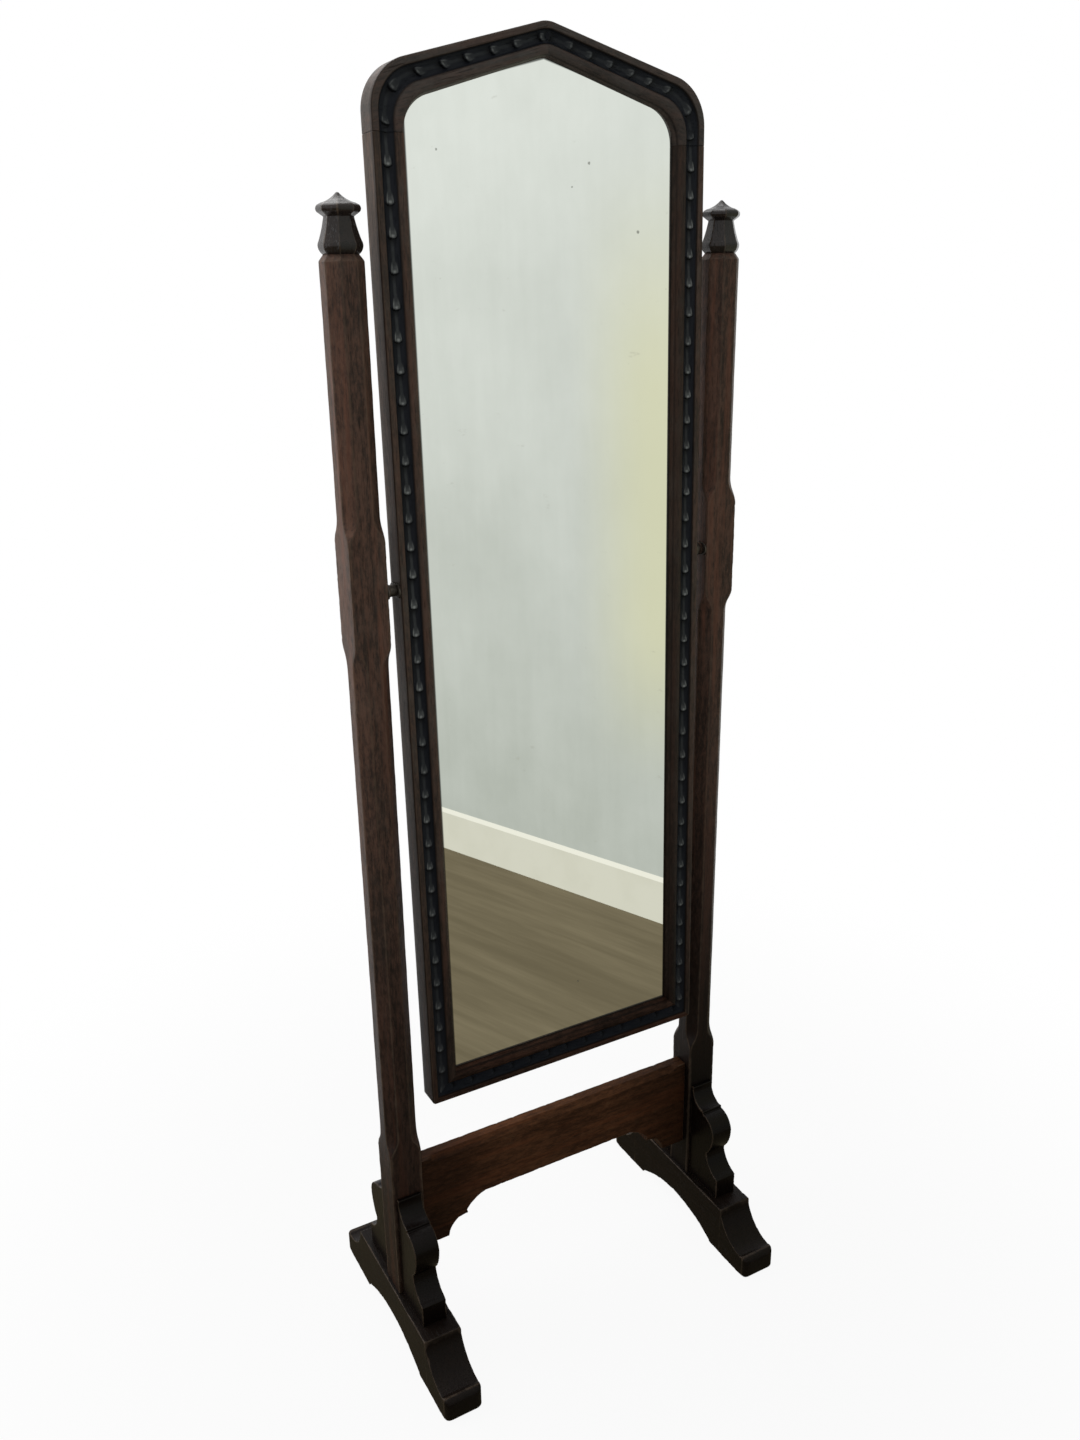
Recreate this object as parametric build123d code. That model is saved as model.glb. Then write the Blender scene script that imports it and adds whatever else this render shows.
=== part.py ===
from build123d import *
import math
import os

# Cheval mirror: two octagonal posts on scooped sledge feet, joined by one shaped rail,
# carry a tall peaked mirror that turns between them on two studs.
# Millimetres. X runs across the mirror to the right, Y runs from front to back, Z is up.
# The origin lies on the floor, midway between the two feet.

# Stand
POST_SIZE = 44.5            # planed post stock, square, and across the flats of the octagon
POST_TOP = 1427.0           # top arris of the posts, under the finials
POST_BEVEL_RISE = 6.5       # height of the bevelled shoulder above that arris
LOWER_BLOCK_TOP = 300.0     # where the uncut square foot block ends and the stops begin
PIVOT_BLOCK_HEIGHT = 105.0  # uncut square part round the pivot
STOP_LENGTH = 36.0          # length of each curved chamfer stop
POST_TENON_X = 16.0
POST_TENON_Y = 30.0
POST_TENON_LENGTH = 38.0

# Finials
FINIAL_HEIGHT = 59.8
FINIAL_WAIST = 35.2         # across the flats at the seat
FINIAL_BULB = 43.8          # across the flats at the widest
FINIAL_BULB_HEIGHT = 8.5
FINIAL_NECK = 29.4
FINIAL_NECK_HEIGHT = 36.5
FINIAL_CAP = 43.4
FINIAL_CAP_HEIGHT = 44.5
FINIAL_DOWEL_DIA = 12.0
FINIAL_DOWEL_LENGTH = 30.0

# Feet
FOOT_LENGTH = 361.0
FOOT_WIDTH = 54.0
FOOT_HEIGHT = 79.5
FOOT_FLAT = 234.0           # length of the raised flat that carries post and brackets
FOOT_STEP = 8.0             # short upright drop at each end of the flat
FOOT_TOE_HEIGHT = 34.0
FOOT_TOE_CORNER = 8.0       # plan radius at the toes
FOOT_PAD = 89.0             # length of each floor pad
FOOT_ARCH_RISE = 27.0
FOOT_ARCH_STEP = 2.0
FOOT_ARRIS = 1.5

# Brackets
BRACKET_WIDTH = 35.0
BRACKET_HEIGHT = 160.5
BRACKET_REACH = 70.0        # how far the base stands out from the post
BRACKET_LIP_HEIGHT = 33.0   # upright face at the base
BRACKET_BULGE = 57.0        # reach of the rounded bulge
BRACKET_DOWEL_DIA = 8.0
BRACKET_DOWEL_LENGTH = 28.0
BRACKET_DOWEL_IN_POST = 12.0

# Stretcher rail
RAIL_THICK = 22.0
RAIL_TOP = 276.0
RAIL_MIDDLE_HEIGHT = 89.0
RAIL_END_HEIGHT = 143.0
RAIL_END_FLAT = 40.0        # straight lower edge next to each post
RAIL_COVE = 30.0            # radius of both coves at each end
RAIL_NIB = 3.5
RAIL_CHAMFER = 8.0
RAIL_CHAMFER_MARGIN = 14.0  # unchamfered length next to each post
RAIL_TENON_THICK = 12.0
RAIL_TENON_LENGTH = 28.0
RAIL_TENON_SHOULDER = 10.0

# Mirror frame
FRAME_WIDTH = 414.4
FRAME_HEIGHT = 1284.0       # bottom edge to apex
FRAME_THICK = 30.0
HEAD_SLOPE = 15.0           # degrees, fall of each head rail from the apex
SHOULDER_RADIUS = 52.0
HEAD_STUB = 20.0            # straight length of the head rail below its shoulder
BOTTOM_CORNER = 4.0
OUTER_BEAD = 8.6
HOLLOW = 16.0
HOLLOW_DEPTH = 4.0
INNER_BEAD = 10.9
BEAD_DROP = 2.0             # how far the bead edges lie behind the face
REVEAL_RUN = 2.9            # width of the sloping inner edge
GLASS_DEPTH = 11.0          # front of the glass behind the face
REBATE = 9.2                # cover of the moulding over the glass
BACK_REBATE = 8.0           # extra width of the rebate for the backboard
GLASS_THICK = 5.0
GLASS_GAP = 1.0             # play round the glass
BACKBOARD_THICK = 6.0
BACKBOARD_GAP = 0.8
BLOCK_LENGTH = 36.0         # softwood blocks that hold the glass forward
BLOCK_WIDTH = 7.0
FRAME_DOWEL_DIA = 6.0
FRAME_DOWEL_LENGTH = 28.0

# Pivot
PIVOT_GAP = 14.85           # between each side of the frame and its post
PIVOT_HEIGHT = 1073.3
PIVOT_SETBACK = 8.0         # pivot axis in front of the post centres
PIVOT_ABOVE_BOTTOM = 692.0  # pivot axis above the bottom edge of the frame
REST_TILT = 1.2             # degrees, head leaning back
PLATE_LENGTH = 28.0
PLATE_WIDTH = 16.0
PLATE_THICK = 2.0
PLATE_SCREW_SPACING = 19.0
STUD_DIA = 8.0
STUD_IN_POST = 24.0
STUD_SHANK_DIA = 6.0
STUD_SHANK_LENGTH = 17.0
STUD_COLLAR_DIA = 14.0
WASHER_DIA = 16.0
WASHER_THICK = 3.0
STUD_RUNNING_CLEARANCE = 0.05

# Wood screws
SCREW_DIA = 3.0
SCREW_HEAD_DIA = 5.8
SCREW_HEAD_DEPTH = 1.6
PLATE_SCREW_LENGTH = 14.0
BOARD_SCREW_LENGTH = 12.0
SCREW_SLOT = 0.7

FIT = 0.05                  # play round dowels and screws
TENON_END_GAP = 1.0         # space left beyond the end of each tenon and dowel

HALF_POST = POST_SIZE / 2
HALF_FRAME = FRAME_WIDTH / 2
POST_INNER = HALF_FRAME + PIVOT_GAP
POST_X = POST_INNER + HALF_POST
FRAME_BOTTOM = PIVOT_HEIGHT - PIVOT_ABOVE_BOTTOM
FRAME_APEX = FRAME_BOTTOM + FRAME_HEIGHT
FRAME_FRONT = -PIVOT_SETBACK - FRAME_THICK / 2
SIGHT = OUTER_BEAD + HOLLOW + INNER_BEAD
LIP = SIGHT + REVEAL_RUN
REBATE_WALL = LIP - REBATE
BACK_WALL = REBATE_WALL - BACK_REBATE
SLOPE = math.radians(HEAD_SLOPE)
SHOULDER_RISE = (HALF_FRAME - SHOULDER_RADIUS) * math.tan(SLOPE) + SHOULDER_RADIUS / math.cos(SLOPE)
SHOULDER_Z = FRAME_APEX - SHOULDER_RISE
JOINT_Z = SHOULDER_Z - HEAD_STUB
PIVOT_AXIS = Axis((0, -PIVOT_SETBACK, PIVOT_HEIGHT), (1, 0, 0))


def mirrored(shape):
    return mirror(shape, about=Plane.YZ)


def backed(shape):
    return mirror(shape, about=Plane.XZ)


def tilted(shape):
    # the whole mirror leans back by its rest tilt about the pivot axis
    return shape.rotate(PIVOT_AXIS, -REST_TILT)


def rod(start, direction, diameter, length):
    plane = Plane(origin=start, z_dir=direction)
    return extrude(plane * Circle(diameter / 2), length)


def screw(head, direction, length, play=0.0, slot=True):
    # countersunk wood screw, its flat head at the given point, driven along the direction
    r = SCREW_DIA / 2 + play
    rh = SCREW_HEAD_DIA / 2 + play
    with BuildSketch(Plane.XZ) as half:
        with BuildLine():
            Polyline(
                (0, 0), (rh, 0), (r, -SCREW_HEAD_DEPTH), (r, -length * 0.75),
                (0.3, -length - play), (0, -length - play), close=True,
            )
        make_face()
    body = revolve(half.sketch, Axis.Z)
    if slot:
        body -= Pos(0, 0, 0) * Box(SCREW_HEAD_DIA * 2, SCREW_SLOT, SCREW_SLOT * 2)
    d = Vector(*direction)
    plane = Plane(origin=head, z_dir=-d)
    return plane * body


# posts

def stop_cutter(z_low, z_high, stop_low, stop_high):
    # the waste of one chamfer: flat between the two stops, run out in an ogee at each stop
    corner = HALF_POST * math.sqrt(2)
    mid = (corner + HALF_POST) / 2
    out = corner + 10
    with BuildSketch(Plane.XZ) as waste:
        with BuildLine():
            if stop_low:
                low = z_low + STOP_LENGTH
                half = z_low + STOP_LENGTH / 2
                TangentArc((corner, z_low), (mid, half), tangent=(0, 1))
                TangentArc((HALF_POST, low), (mid, half), tangent=(0, -1))
            else:
                low = z_low
            if stop_high:
                high = z_high - STOP_LENGTH
                half = z_high - STOP_LENGTH / 2
                TangentArc((HALF_POST, high), (mid, half), tangent=(0, 1))
                TangentArc((corner, z_high), (mid, half), tangent=(0, -1))
            else:
                high = z_high
            Line((HALF_POST, low), (HALF_POST, high))
            if stop_high:
                Line((corner, z_high), (out, z_high))
            else:
                Line((HALF_POST, high), (out, high))
            Line((out, z_high), (out, z_low))
            if stop_low:
                Line((out, z_low), (corner, z_low))
            else:
                Line((out, z_low), (HALF_POST, z_low))
        make_face()
    slab = extrude(waste.sketch, POST_SIZE, both=True)
    return [slab.rotate(Axis.Z, 45 + 90 * k) for k in range(4)]


def post():
    # square post, chamfered to an octagon above and below the block that holds the pivot
    body = Pos(0, 0, FOOT_HEIGHT) * Box(
        POST_SIZE, POST_SIZE, POST_TOP + POST_BEVEL_RISE - FOOT_HEIGHT,
        align=(Align.CENTER, Align.CENTER, Align.MIN),
    )
    block_low = PIVOT_HEIGHT - PIVOT_BLOCK_HEIGHT / 2
    block_high = PIVOT_HEIGHT + PIVOT_BLOCK_HEIGHT / 2
    body -= stop_cutter(LOWER_BLOCK_TOP, block_low, True, True)
    body -= stop_cutter(block_high, POST_TOP + POST_BEVEL_RISE + 5, True, False)
    # the bevelled shoulder at the top falls from the waist of the finial to each face
    side = POST_SIZE * math.tan(math.radians(22.5))
    seat = FINIAL_WAIST * math.tan(math.radians(22.5))
    s = math.sin(math.radians(22.5))
    low = Plane.XY.offset(POST_TOP) * RegularPolygon(side / 2 / s, 8, rotation=22.5)
    top = Plane.XY.offset(POST_TOP + POST_BEVEL_RISE) * RegularPolygon(seat / 2 / s, 8, rotation=22.5)
    bevel = loft([low, top])
    body -= Pos(0, 0, POST_TOP) * Box(
        POST_SIZE * 2, POST_SIZE * 2, POST_BEVEL_RISE * 2, align=(Align.CENTER, Align.CENTER, Align.MIN)
    )
    body += bevel
    body += Pos(0, 0, FOOT_HEIGHT) * Box(
        POST_TENON_X, POST_TENON_Y, POST_TENON_LENGTH, align=(Align.CENTER, Align.CENTER, Align.MAX)
    )
    body = Pos(-POST_X, 0, 0) * body
    body -= rail_tenon(TENON_END_GAP)
    body -= finial_dowel(FIT, TENON_END_GAP)
    body -= bracket_post_holes()
    # bore for the pivot stud, from the inner face
    body -= rod(
        (-POST_INNER + 1, -PIVOT_SETBACK, PIVOT_HEIGHT), (-1, 0, 0),
        STUD_DIA + 2 * STUD_RUNNING_CLEARANCE, STUD_IN_POST + TENON_END_GAP + 1,
    )
    body -= [screw(*place, PLATE_SCREW_LENGTH, FIT, False) for place in post_plate_screw_places()]
    return body


# finials

def finial():
    # eight equal faces, each with the same outline: four crossed slabs of it, intersected
    z0 = POST_TOP + POST_BEVEL_RISE
    a = FINIAL_WAIST / 2
    b = FINIAL_BULB / 2
    n = FINIAL_NECK / 2
    c = FINIAL_CAP / 2
    zb = z0 + FINIAL_BULB_HEIGHT
    zn = z0 + FINIAL_NECK_HEIGHT
    zc = z0 + FINIAL_CAP_HEIGHT
    zt = z0 + FINIAL_HEIGHT
    with BuildSketch(Plane.XZ) as outline:
        with BuildLine() as right:
            Line((0, z0), (a, z0))
            ThreePointArc((a, z0), ((a + b) / 2 + 0.7, (z0 + zb) / 2 - 0.8), (b, zb))
            TangentArc((b, zb), (b - 1.3, zb + 5), tangent=(0, 1))
            ThreePointArc((b - 1.3, zb + 5), ((b - 1.3 + n) / 2 - 0.5, (zb + 5 + zn) / 2), (n, zn))
            Line((n, zn), (c - 1.2, zc - 3.6))
            ThreePointArc((c - 1.2, zc - 3.6), (c, zc - 0.6), (c - 1.8, zc + 3.4))
            Line((c - 1.8, zc + 3.4), (c - 4.9, zc + 5.2))
            ThreePointArc((c - 4.9, zc + 5.2), (8.4, zc + 8.8), (1.6, zt - 0.6))
            Line((1.6, zt - 0.6), (0, zt))
            mirror(right.line, about=Plane.YZ)
        make_face()
    slab = extrude(outline.sketch, FINIAL_CAP, both=True)
    body = slab
    for k in range(1, 4):
        body &= slab.rotate(Axis.Z, 45 * k)
    body = Pos(-POST_X, 0, 0) * body
    return body - finial_dowel(FIT, TENON_END_GAP)


def finial_dowel(play=0.0, extra=0.0):
    z0 = POST_TOP + POST_BEVEL_RISE - FINIAL_DOWEL_LENGTH / 2 - extra
    return rod((-POST_X, 0, z0), (0, 0, 1), FINIAL_DOWEL_DIA + 2 * play, FINIAL_DOWEL_LENGTH + 2 * extra)


# feet

def foot():
    # front to back profile: raised flat, short step, scooped ramp and lipped toe at both ends,
    # with a shallow arch between the floor pads
    half = FOOT_LENGTH / 2
    flat = FOOT_FLAT / 2
    pad = half - FOOT_PAD
    foot_z = FOOT_HEIGHT - FOOT_STEP
    lip = half - 14
    toe_z = FOOT_TOE_HEIGHT - 1.5
    scoop_mid = (flat + (lip - flat) * 0.33, toe_z + (foot_z - toe_z) * 0.36)
    with BuildSketch(Plane.YZ) as side:
        with BuildLine() as front:
            Line((0, FOOT_HEIGHT), (flat, FOOT_HEIGHT))
            Line((flat, FOOT_HEIGHT), (flat, foot_z))
            ThreePointArc((flat, foot_z), scoop_mid, (lip, toe_z))
            ThreePointArc((lip, toe_z), (half - 6, toe_z + 1.1), (half, FOOT_TOE_HEIGHT - 7))
            Line((half, FOOT_TOE_HEIGHT - 7), (half, 0))
            Line((half, 0), (pad, 0))
            Line((pad, 0), (pad, FOOT_ARCH_STEP))
            mirror(front.line, about=Plane.YZ)
            ThreePointArc((pad, FOOT_ARCH_STEP), (0, FOOT_ARCH_RISE), (-pad, FOOT_ARCH_STEP))
        make_face()
    body = extrude(side.sketch, FOOT_WIDTH / 2, both=True)
    corners = body.edges().filter_by(Axis.Z).group_by(Axis.Y)
    body = fillet(corners[0] + corners[-1], FOOT_TOE_CORNER)
    flat_edges = body.faces().sort_by(Axis.Z)[-1].edges().filter_by(Axis.Y)
    body = chamfer(flat_edges, FOOT_ARRIS)
    body = Pos(-POST_X, 0, 0) * body
    mortise = Pos(-POST_X, 0, FOOT_HEIGHT) * Box(
        POST_TENON_X, POST_TENON_Y, 2 * (POST_TENON_LENGTH + TENON_END_GAP)
    )
    body -= mortise
    body -= bracket_foot_holes()
    return body


# brackets

def bracket():
    # outline from the top: fillet, cove, fillet, rounded bulge, quirk, hollow, lip, upright base
    face = -HALF_POST
    top = FOOT_HEIGHT + BRACKET_HEIGHT
    lip_z = FOOT_HEIGHT + BRACKET_LIP_HEIGHT
    cove_in = (face - 4.5, top - 6)
    cove_out = (face - 27, top - 28.5)
    bulge_top = (face - 33, top - 32.5)
    bulge = (face - BRACKET_BULGE, top - 56)
    quirk = (face - BRACKET_REACH * 0.6, lip_z + 29.5)
    hollow = (quirk[0] - (BRACKET_REACH - 3) * 0.13, lip_z + 10.5)
    lip = (face - BRACKET_REACH + 3.5, lip_z + 0.5)
    with BuildSketch(Plane.YZ) as side:
        with BuildLine():
            Polyline((face, top), (face - 5.5, top), (face - 5.5, top - 4), (face - 4.5, top - 4), cove_in)
            ThreePointArc(
                cove_in,
                (cove_in[0] - 7, cove_out[1] + 7.2),
                cove_out,
            )
            Polyline(cove_out, (cove_out[0] - 3.5, cove_out[1]), (cove_out[0] - 3.5, bulge_top[1]), bulge_top)
            TangentArc(bulge_top, bulge, tangent=(-1, -0.12))
            ThreePointArc(bulge, (face - BRACKET_BULGE + 2.6, bulge[1] - 18), (quirk[0], quirk[1] + 2))
            Line((quirk[0], quirk[1] + 2), quirk)
            ThreePointArc(quirk, hollow, lip)
            Polyline(
                lip, (face - BRACKET_REACH, lip_z - 1.5),
                (face - BRACKET_REACH, FOOT_HEIGHT), (face, FOOT_HEIGHT), (face, top),
            )
        make_face()
    body = extrude(side.sketch, BRACKET_WIDTH / 2, both=True)
    body = Pos(-POST_X, 0, 0) * body
    return body - bracket_dowel_pair(FIT, TENON_END_GAP / 2)


def bracket_dowel_pair(play=0.0, extra=0.0):
    # one dowel into the post, one into the foot
    bore = BRACKET_DOWEL_DIA + 2 * play
    length = BRACKET_DOWEL_LENGTH + 2 * extra
    in_post = -HALF_POST + BRACKET_DOWEL_IN_POST + extra
    in_foot = FOOT_HEIGHT - BRACKET_DOWEL_LENGTH / 2 - extra
    across = rod((-POST_X, in_post, FOOT_HEIGHT + BRACKET_HEIGHT * 0.62), (0, -1, 0), bore, length)
    down = rod((-POST_X, -HALF_POST - BRACKET_REACH * 0.64, in_foot), (0, 0, 1), bore, length)
    return [across, down]


def bracket_post_holes():
    hole = bracket_dowel_pair(FIT, TENON_END_GAP / 2)[0]
    return [hole, backed(hole)]


def bracket_foot_holes():
    hole = bracket_dowel_pair(FIT, TENON_END_GAP / 2)[1]
    return [hole, backed(hole)]


# stretcher rail

def stretcher_rail():
    # board on edge: straight in the middle, two coves with a nib between at each end
    end = POST_INNER
    z_mid = RAIL_TOP - RAIL_MIDDLE_HEIGHT
    z_end = RAIL_TOP - RAIL_END_HEIGHT
    x3 = end - RAIL_END_FLAT
    x2 = x3 - RAIL_COVE
    x1 = x2 + RAIL_NIB
    x0 = x1 - RAIL_COVE - 3
    rise = (z_mid - z_end) / 2
    s = math.sin(math.radians(45))
    with BuildSketch(Plane.XZ) as front:
        with BuildLine() as right:
            Line((0, RAIL_TOP), (end, RAIL_TOP))
            Line((end, RAIL_TOP), (end, z_end))
            Line((end, z_end), (x3, z_end))
            ThreePointArc((x3, z_end), (x2 + RAIL_COVE * s, z_end + rise * s), (x2, z_end + rise))
            Line((x2, z_end + rise), (x1, z_end + rise + 1.5))
            ThreePointArc((x1, z_end + rise + 1.5), (x0 + (x1 - x0) * s, z_mid - rise * (1 - s)), (x0, z_mid))
            Line((x0, z_mid), (0, z_mid))
            mirror(right.line, about=Plane.YZ)
        make_face()
    body = extrude(front.sketch, RAIL_THICK / 2, both=True)
    # stopped chamfer along the top front arris
    run = end - RAIL_CHAMFER_MARGIN
    with BuildSketch(Plane.YZ.offset(-run)) as waste:
        with BuildLine():
            Polyline(
                (-RAIL_THICK / 2, RAIL_TOP - RAIL_CHAMFER), (-RAIL_THICK / 2 + RAIL_CHAMFER, RAIL_TOP),
                (-RAIL_THICK / 2 + RAIL_CHAMFER, RAIL_TOP + 2), (-RAIL_THICK / 2 - 2, RAIL_TOP + 2),
                (-RAIL_THICK / 2 - 2, RAIL_TOP - RAIL_CHAMFER), close=True,
            )
        make_face()
    strip = extrude(waste.sketch, 2 * run)
    arris = (-RAIL_THICK / 2, RAIL_TOP)
    tip = RAIL_CHAMFER * 1.2
    for side in (-1, 1):
        stop = Plane(origin=(side * run, arris[0], arris[1]), x_dir=(1, 0, 0), z_dir=(0, 1, 1))
        strip -= stop * Pos(side * tip, 0, 0) * Box(2 * tip, 8 * RAIL_CHAMFER, 8 * RAIL_CHAMFER).rotate(
            Axis.Y, side * 40
        )
    body -= strip
    body += rail_tenon()
    body += mirrored(rail_tenon())
    return body


def rail_tenon(extra=0.0):
    z_low = RAIL_TOP - RAIL_END_HEIGHT + RAIL_TENON_SHOULDER
    z_high = RAIL_TOP - RAIL_TENON_SHOULDER
    return Pos(-POST_INNER, 0, z_low) * Box(
        RAIL_TENON_LENGTH + extra, RAIL_TENON_THICK, z_high - z_low,
        align=(Align.MAX, Align.CENTER, Align.MIN),
    )


# mirror frame

def moulding(plane):
    # section across a frame member: x inward from the outer edge, y back from the face
    bead2 = OUTER_BEAD + HOLLOW
    drop = BEAD_DROP
    with BuildSketch(plane) as section:
        with BuildLine():
            Line((0, FRAME_THICK), (0, drop))
            TangentArc((0, drop), (drop, 0), tangent=(0, -1))
            Line((drop, 0), (OUTER_BEAD - drop, 0))
            TangentArc((OUTER_BEAD - drop, 0), (OUTER_BEAD, drop), tangent=(1, 0))
            ThreePointArc((OUTER_BEAD, drop), (OUTER_BEAD + HOLLOW / 2, drop + HOLLOW_DEPTH), (bead2, drop))
            ThreePointArc((bead2, drop), (bead2 + INNER_BEAD * 0.45, 0), (SIGHT, drop))
            Polyline(
                (SIGHT, drop), (LIP, GLASS_DEPTH), (REBATE_WALL, GLASS_DEPTH),
                (REBATE_WALL, FRAME_THICK - BACKBOARD_THICK), (BACK_WALL, FRAME_THICK - BACKBOARD_THICK),
                (BACK_WALL, FRAME_THICK), (0, FRAME_THICK),
            )
        make_face()
    return section.sketch


def mitre_waste(side):
    # one side of the 45 degree plane through the lower left corner of the frame
    x, z, far = -HALF_FRAME, FRAME_BOTTOM, 3 * LIP
    third = (x + far, z - far) if side == "under" else (x - far, z + far)
    with BuildSketch(Plane.XZ) as waste:
        with BuildLine():
            Polyline((x - far, z - far), (x + far, z + far), third, close=True)
        make_face()
    return extrude(waste.sketch, 4 * FRAME_THICK, both=True)


def corner_waste():
    # the small radius on the lower left corner of the frame
    x, z, r = -HALF_FRAME, FRAME_BOTTOM, BOTTOM_CORNER
    square = Pos(x, 0, z) * Box(2 * r, 4 * FRAME_THICK, 2 * r)
    return square - Pos(x + r, 0, z + r) * Rot(90, 0, 0) * Cylinder(r, 5 * FRAME_THICK)


def stile():
    plane = Plane(origin=(-HALF_FRAME, FRAME_FRONT, FRAME_BOTTOM), x_dir=(1, 0, 0), z_dir=(0, 0, 1))
    body = extrude(moulding(plane), JOINT_Z - FRAME_BOTTOM)
    body -= mitre_waste("under")
    body -= corner_waste()
    body -= frame_dowels_left(FIT, TENON_END_GAP / 2)
    body -= rod(
        (-HALF_FRAME - 1, -PIVOT_SETBACK, PIVOT_HEIGHT), (1, 0, 0),
        STUD_SHANK_DIA + 2 * FIT, STUD_SHANK_LENGTH + TENON_END_GAP + 1,
    )
    body -= [screw(*place, PLATE_SCREW_LENGTH, FIT, False) for place in frame_plate_screw_places()]
    body -= [screw(*place, BOARD_SCREW_LENGTH, FIT, False) for place in board_screw_places()]
    return body


def head_rail():
    # one half of the peaked head: straight slope, rounded shoulder and a short upright stub
    foot_plane = Plane(origin=(-HALF_FRAME, FRAME_FRONT, JOINT_Z), x_dir=(1, 0, 0), z_dir=(0, 0, 1))
    stub = extrude(moulding(foot_plane), HEAD_STUB)
    turn_plane = Plane(origin=(-HALF_FRAME, FRAME_FRONT, SHOULDER_Z), x_dir=(1, 0, 0), z_dir=(0, 0, 1))
    turn_axis = Axis((-HALF_FRAME + SHOULDER_RADIUS, FRAME_FRONT, SHOULDER_Z), (0, 1, 0))
    shoulder = revolve(moulding(turn_plane), turn_axis, 90 - HEAD_SLOPE)
    start = (
        -HALF_FRAME + SHOULDER_RADIUS - SHOULDER_RADIUS * math.sin(SLOPE),
        FRAME_FRONT,
        SHOULDER_Z + SHOULDER_RADIUS * math.cos(SLOPE),
    )
    s, c = math.sin(SLOPE), math.cos(SLOPE)
    slope_plane = Plane(origin=start, x_dir=(s, 0, -c), z_dir=(c, 0, s))
    run = extrude(moulding(slope_plane), -start[0] / math.cos(SLOPE) + 60)
    body = stub + shoulder + run
    tall = 2 * FRAME_APEX + FRAME_WIDTH
    body -= Box(FRAME_WIDTH, FRAME_WIDTH, tall, align=(Align.MIN, Align.CENTER, Align.CENTER))
    body -= frame_dowels_left(FIT, TENON_END_GAP / 2)
    body -= apex_dowels(FIT, TENON_END_GAP / 2)
    body -= [screw(*place, BOARD_SCREW_LENGTH, FIT, False) for place in board_screw_places()]
    return body


def bottom_rail():
    plane = Plane(origin=(HALF_FRAME, FRAME_FRONT, FRAME_BOTTOM), x_dir=(0, 0, 1), z_dir=(-1, 0, 0))
    body = extrude(moulding(plane), FRAME_WIDTH)
    waste = mitre_waste("over")
    body -= waste
    body -= mirrored(waste)
    body -= corner_waste()
    body -= mirrored(corner_waste())
    dowels = frame_dowels_left(FIT, TENON_END_GAP / 2)
    body -= dowels
    body -= [mirrored(d) for d in dowels]
    screws = [screw(*place, BOARD_SCREW_LENGTH, FIT, False) for place in board_screw_places()]
    body -= screws
    body -= [mirrored(s) for s in screws]
    body -= screw(*board_middle_screw_place(), BOARD_SCREW_LENGTH, FIT, False)
    return body


def frame_dowels_left(play=0.0, extra=0.0):
    # two across the stile and head joint, one across the lower mitre
    y = FRAME_FRONT + FRAME_THICK / 2
    d = FRAME_DOWEL_DIA + 2 * play
    length = FRAME_DOWEL_LENGTH + 2 * extra
    out = []
    for share in (0.3, 0.74):
        x = -HALF_FRAME + REBATE_WALL * share
        out.append(rod((x, y, JOINT_Z - length / 2), (0, 0, 1), d, length))
    c = REBATE_WALL * 0.58
    k = length / 2 / math.sqrt(2)
    out.append(rod((-HALF_FRAME + c - k, y, FRAME_BOTTOM + c + k), (1, 0, -1), d, length))
    return out


def apex_dowels(play=0.0, extra=0.0):
    y = FRAME_FRONT + FRAME_THICK / 2
    d = FRAME_DOWEL_DIA + 2 * play
    length = FRAME_DOWEL_LENGTH + 2 * extra
    return [
        rod((-length / 2, y, FRAME_APEX - REBATE_WALL * share), (1, 0, 0), d, length) for share in (0.42, 0.8)
    ]


def panel(inset, y_front, thickness):
    # board or glass that follows the inside of the frame at the given inset from its outer edge
    w = HALF_FRAME - inset
    r = SHOULDER_RADIUS - inset
    cx = -HALF_FRAME + SHOULDER_RADIUS
    low = FRAME_BOTTOM + inset
    peak = FRAME_APEX - inset / math.cos(SLOPE)
    mid = math.radians(45 + HEAD_SLOPE / 2)
    with BuildSketch(Plane.XZ) as face:
        with BuildLine() as left:
            Line((0, low), (-w, low))
            Line((-w, low), (-w, SHOULDER_Z))
            ThreePointArc(
                (-w, SHOULDER_Z),
                (cx - r * math.sin(mid), SHOULDER_Z + r * math.cos(mid)),
                (cx - r * math.sin(SLOPE), SHOULDER_Z + r * math.cos(SLOPE)),
            )
            Line((cx - r * math.sin(SLOPE), SHOULDER_Z + r * math.cos(SLOPE)), (0, peak))
            mirror(left.line, about=Plane.YZ)
        make_face()
    return Pos(0, y_front, 0) * extrude(face.sketch, -thickness)


def mirror_glass():
    return panel(REBATE_WALL + GLASS_GAP, FRAME_FRONT + GLASS_DEPTH, GLASS_THICK)


def backboard():
    body = panel(BACK_WALL + BACKBOARD_GAP, FRAME_FRONT + FRAME_THICK - BACKBOARD_THICK, BACKBOARD_THICK)
    screws = [screw(*place, BOARD_SCREW_LENGTH, FIT, False) for place in board_screw_places()]
    middle = screw(*board_middle_screw_place(), BOARD_SCREW_LENGTH, FIT, False)
    body -= screws
    body -= [mirrored(s) for s in screws]
    body -= middle
    return body


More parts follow.
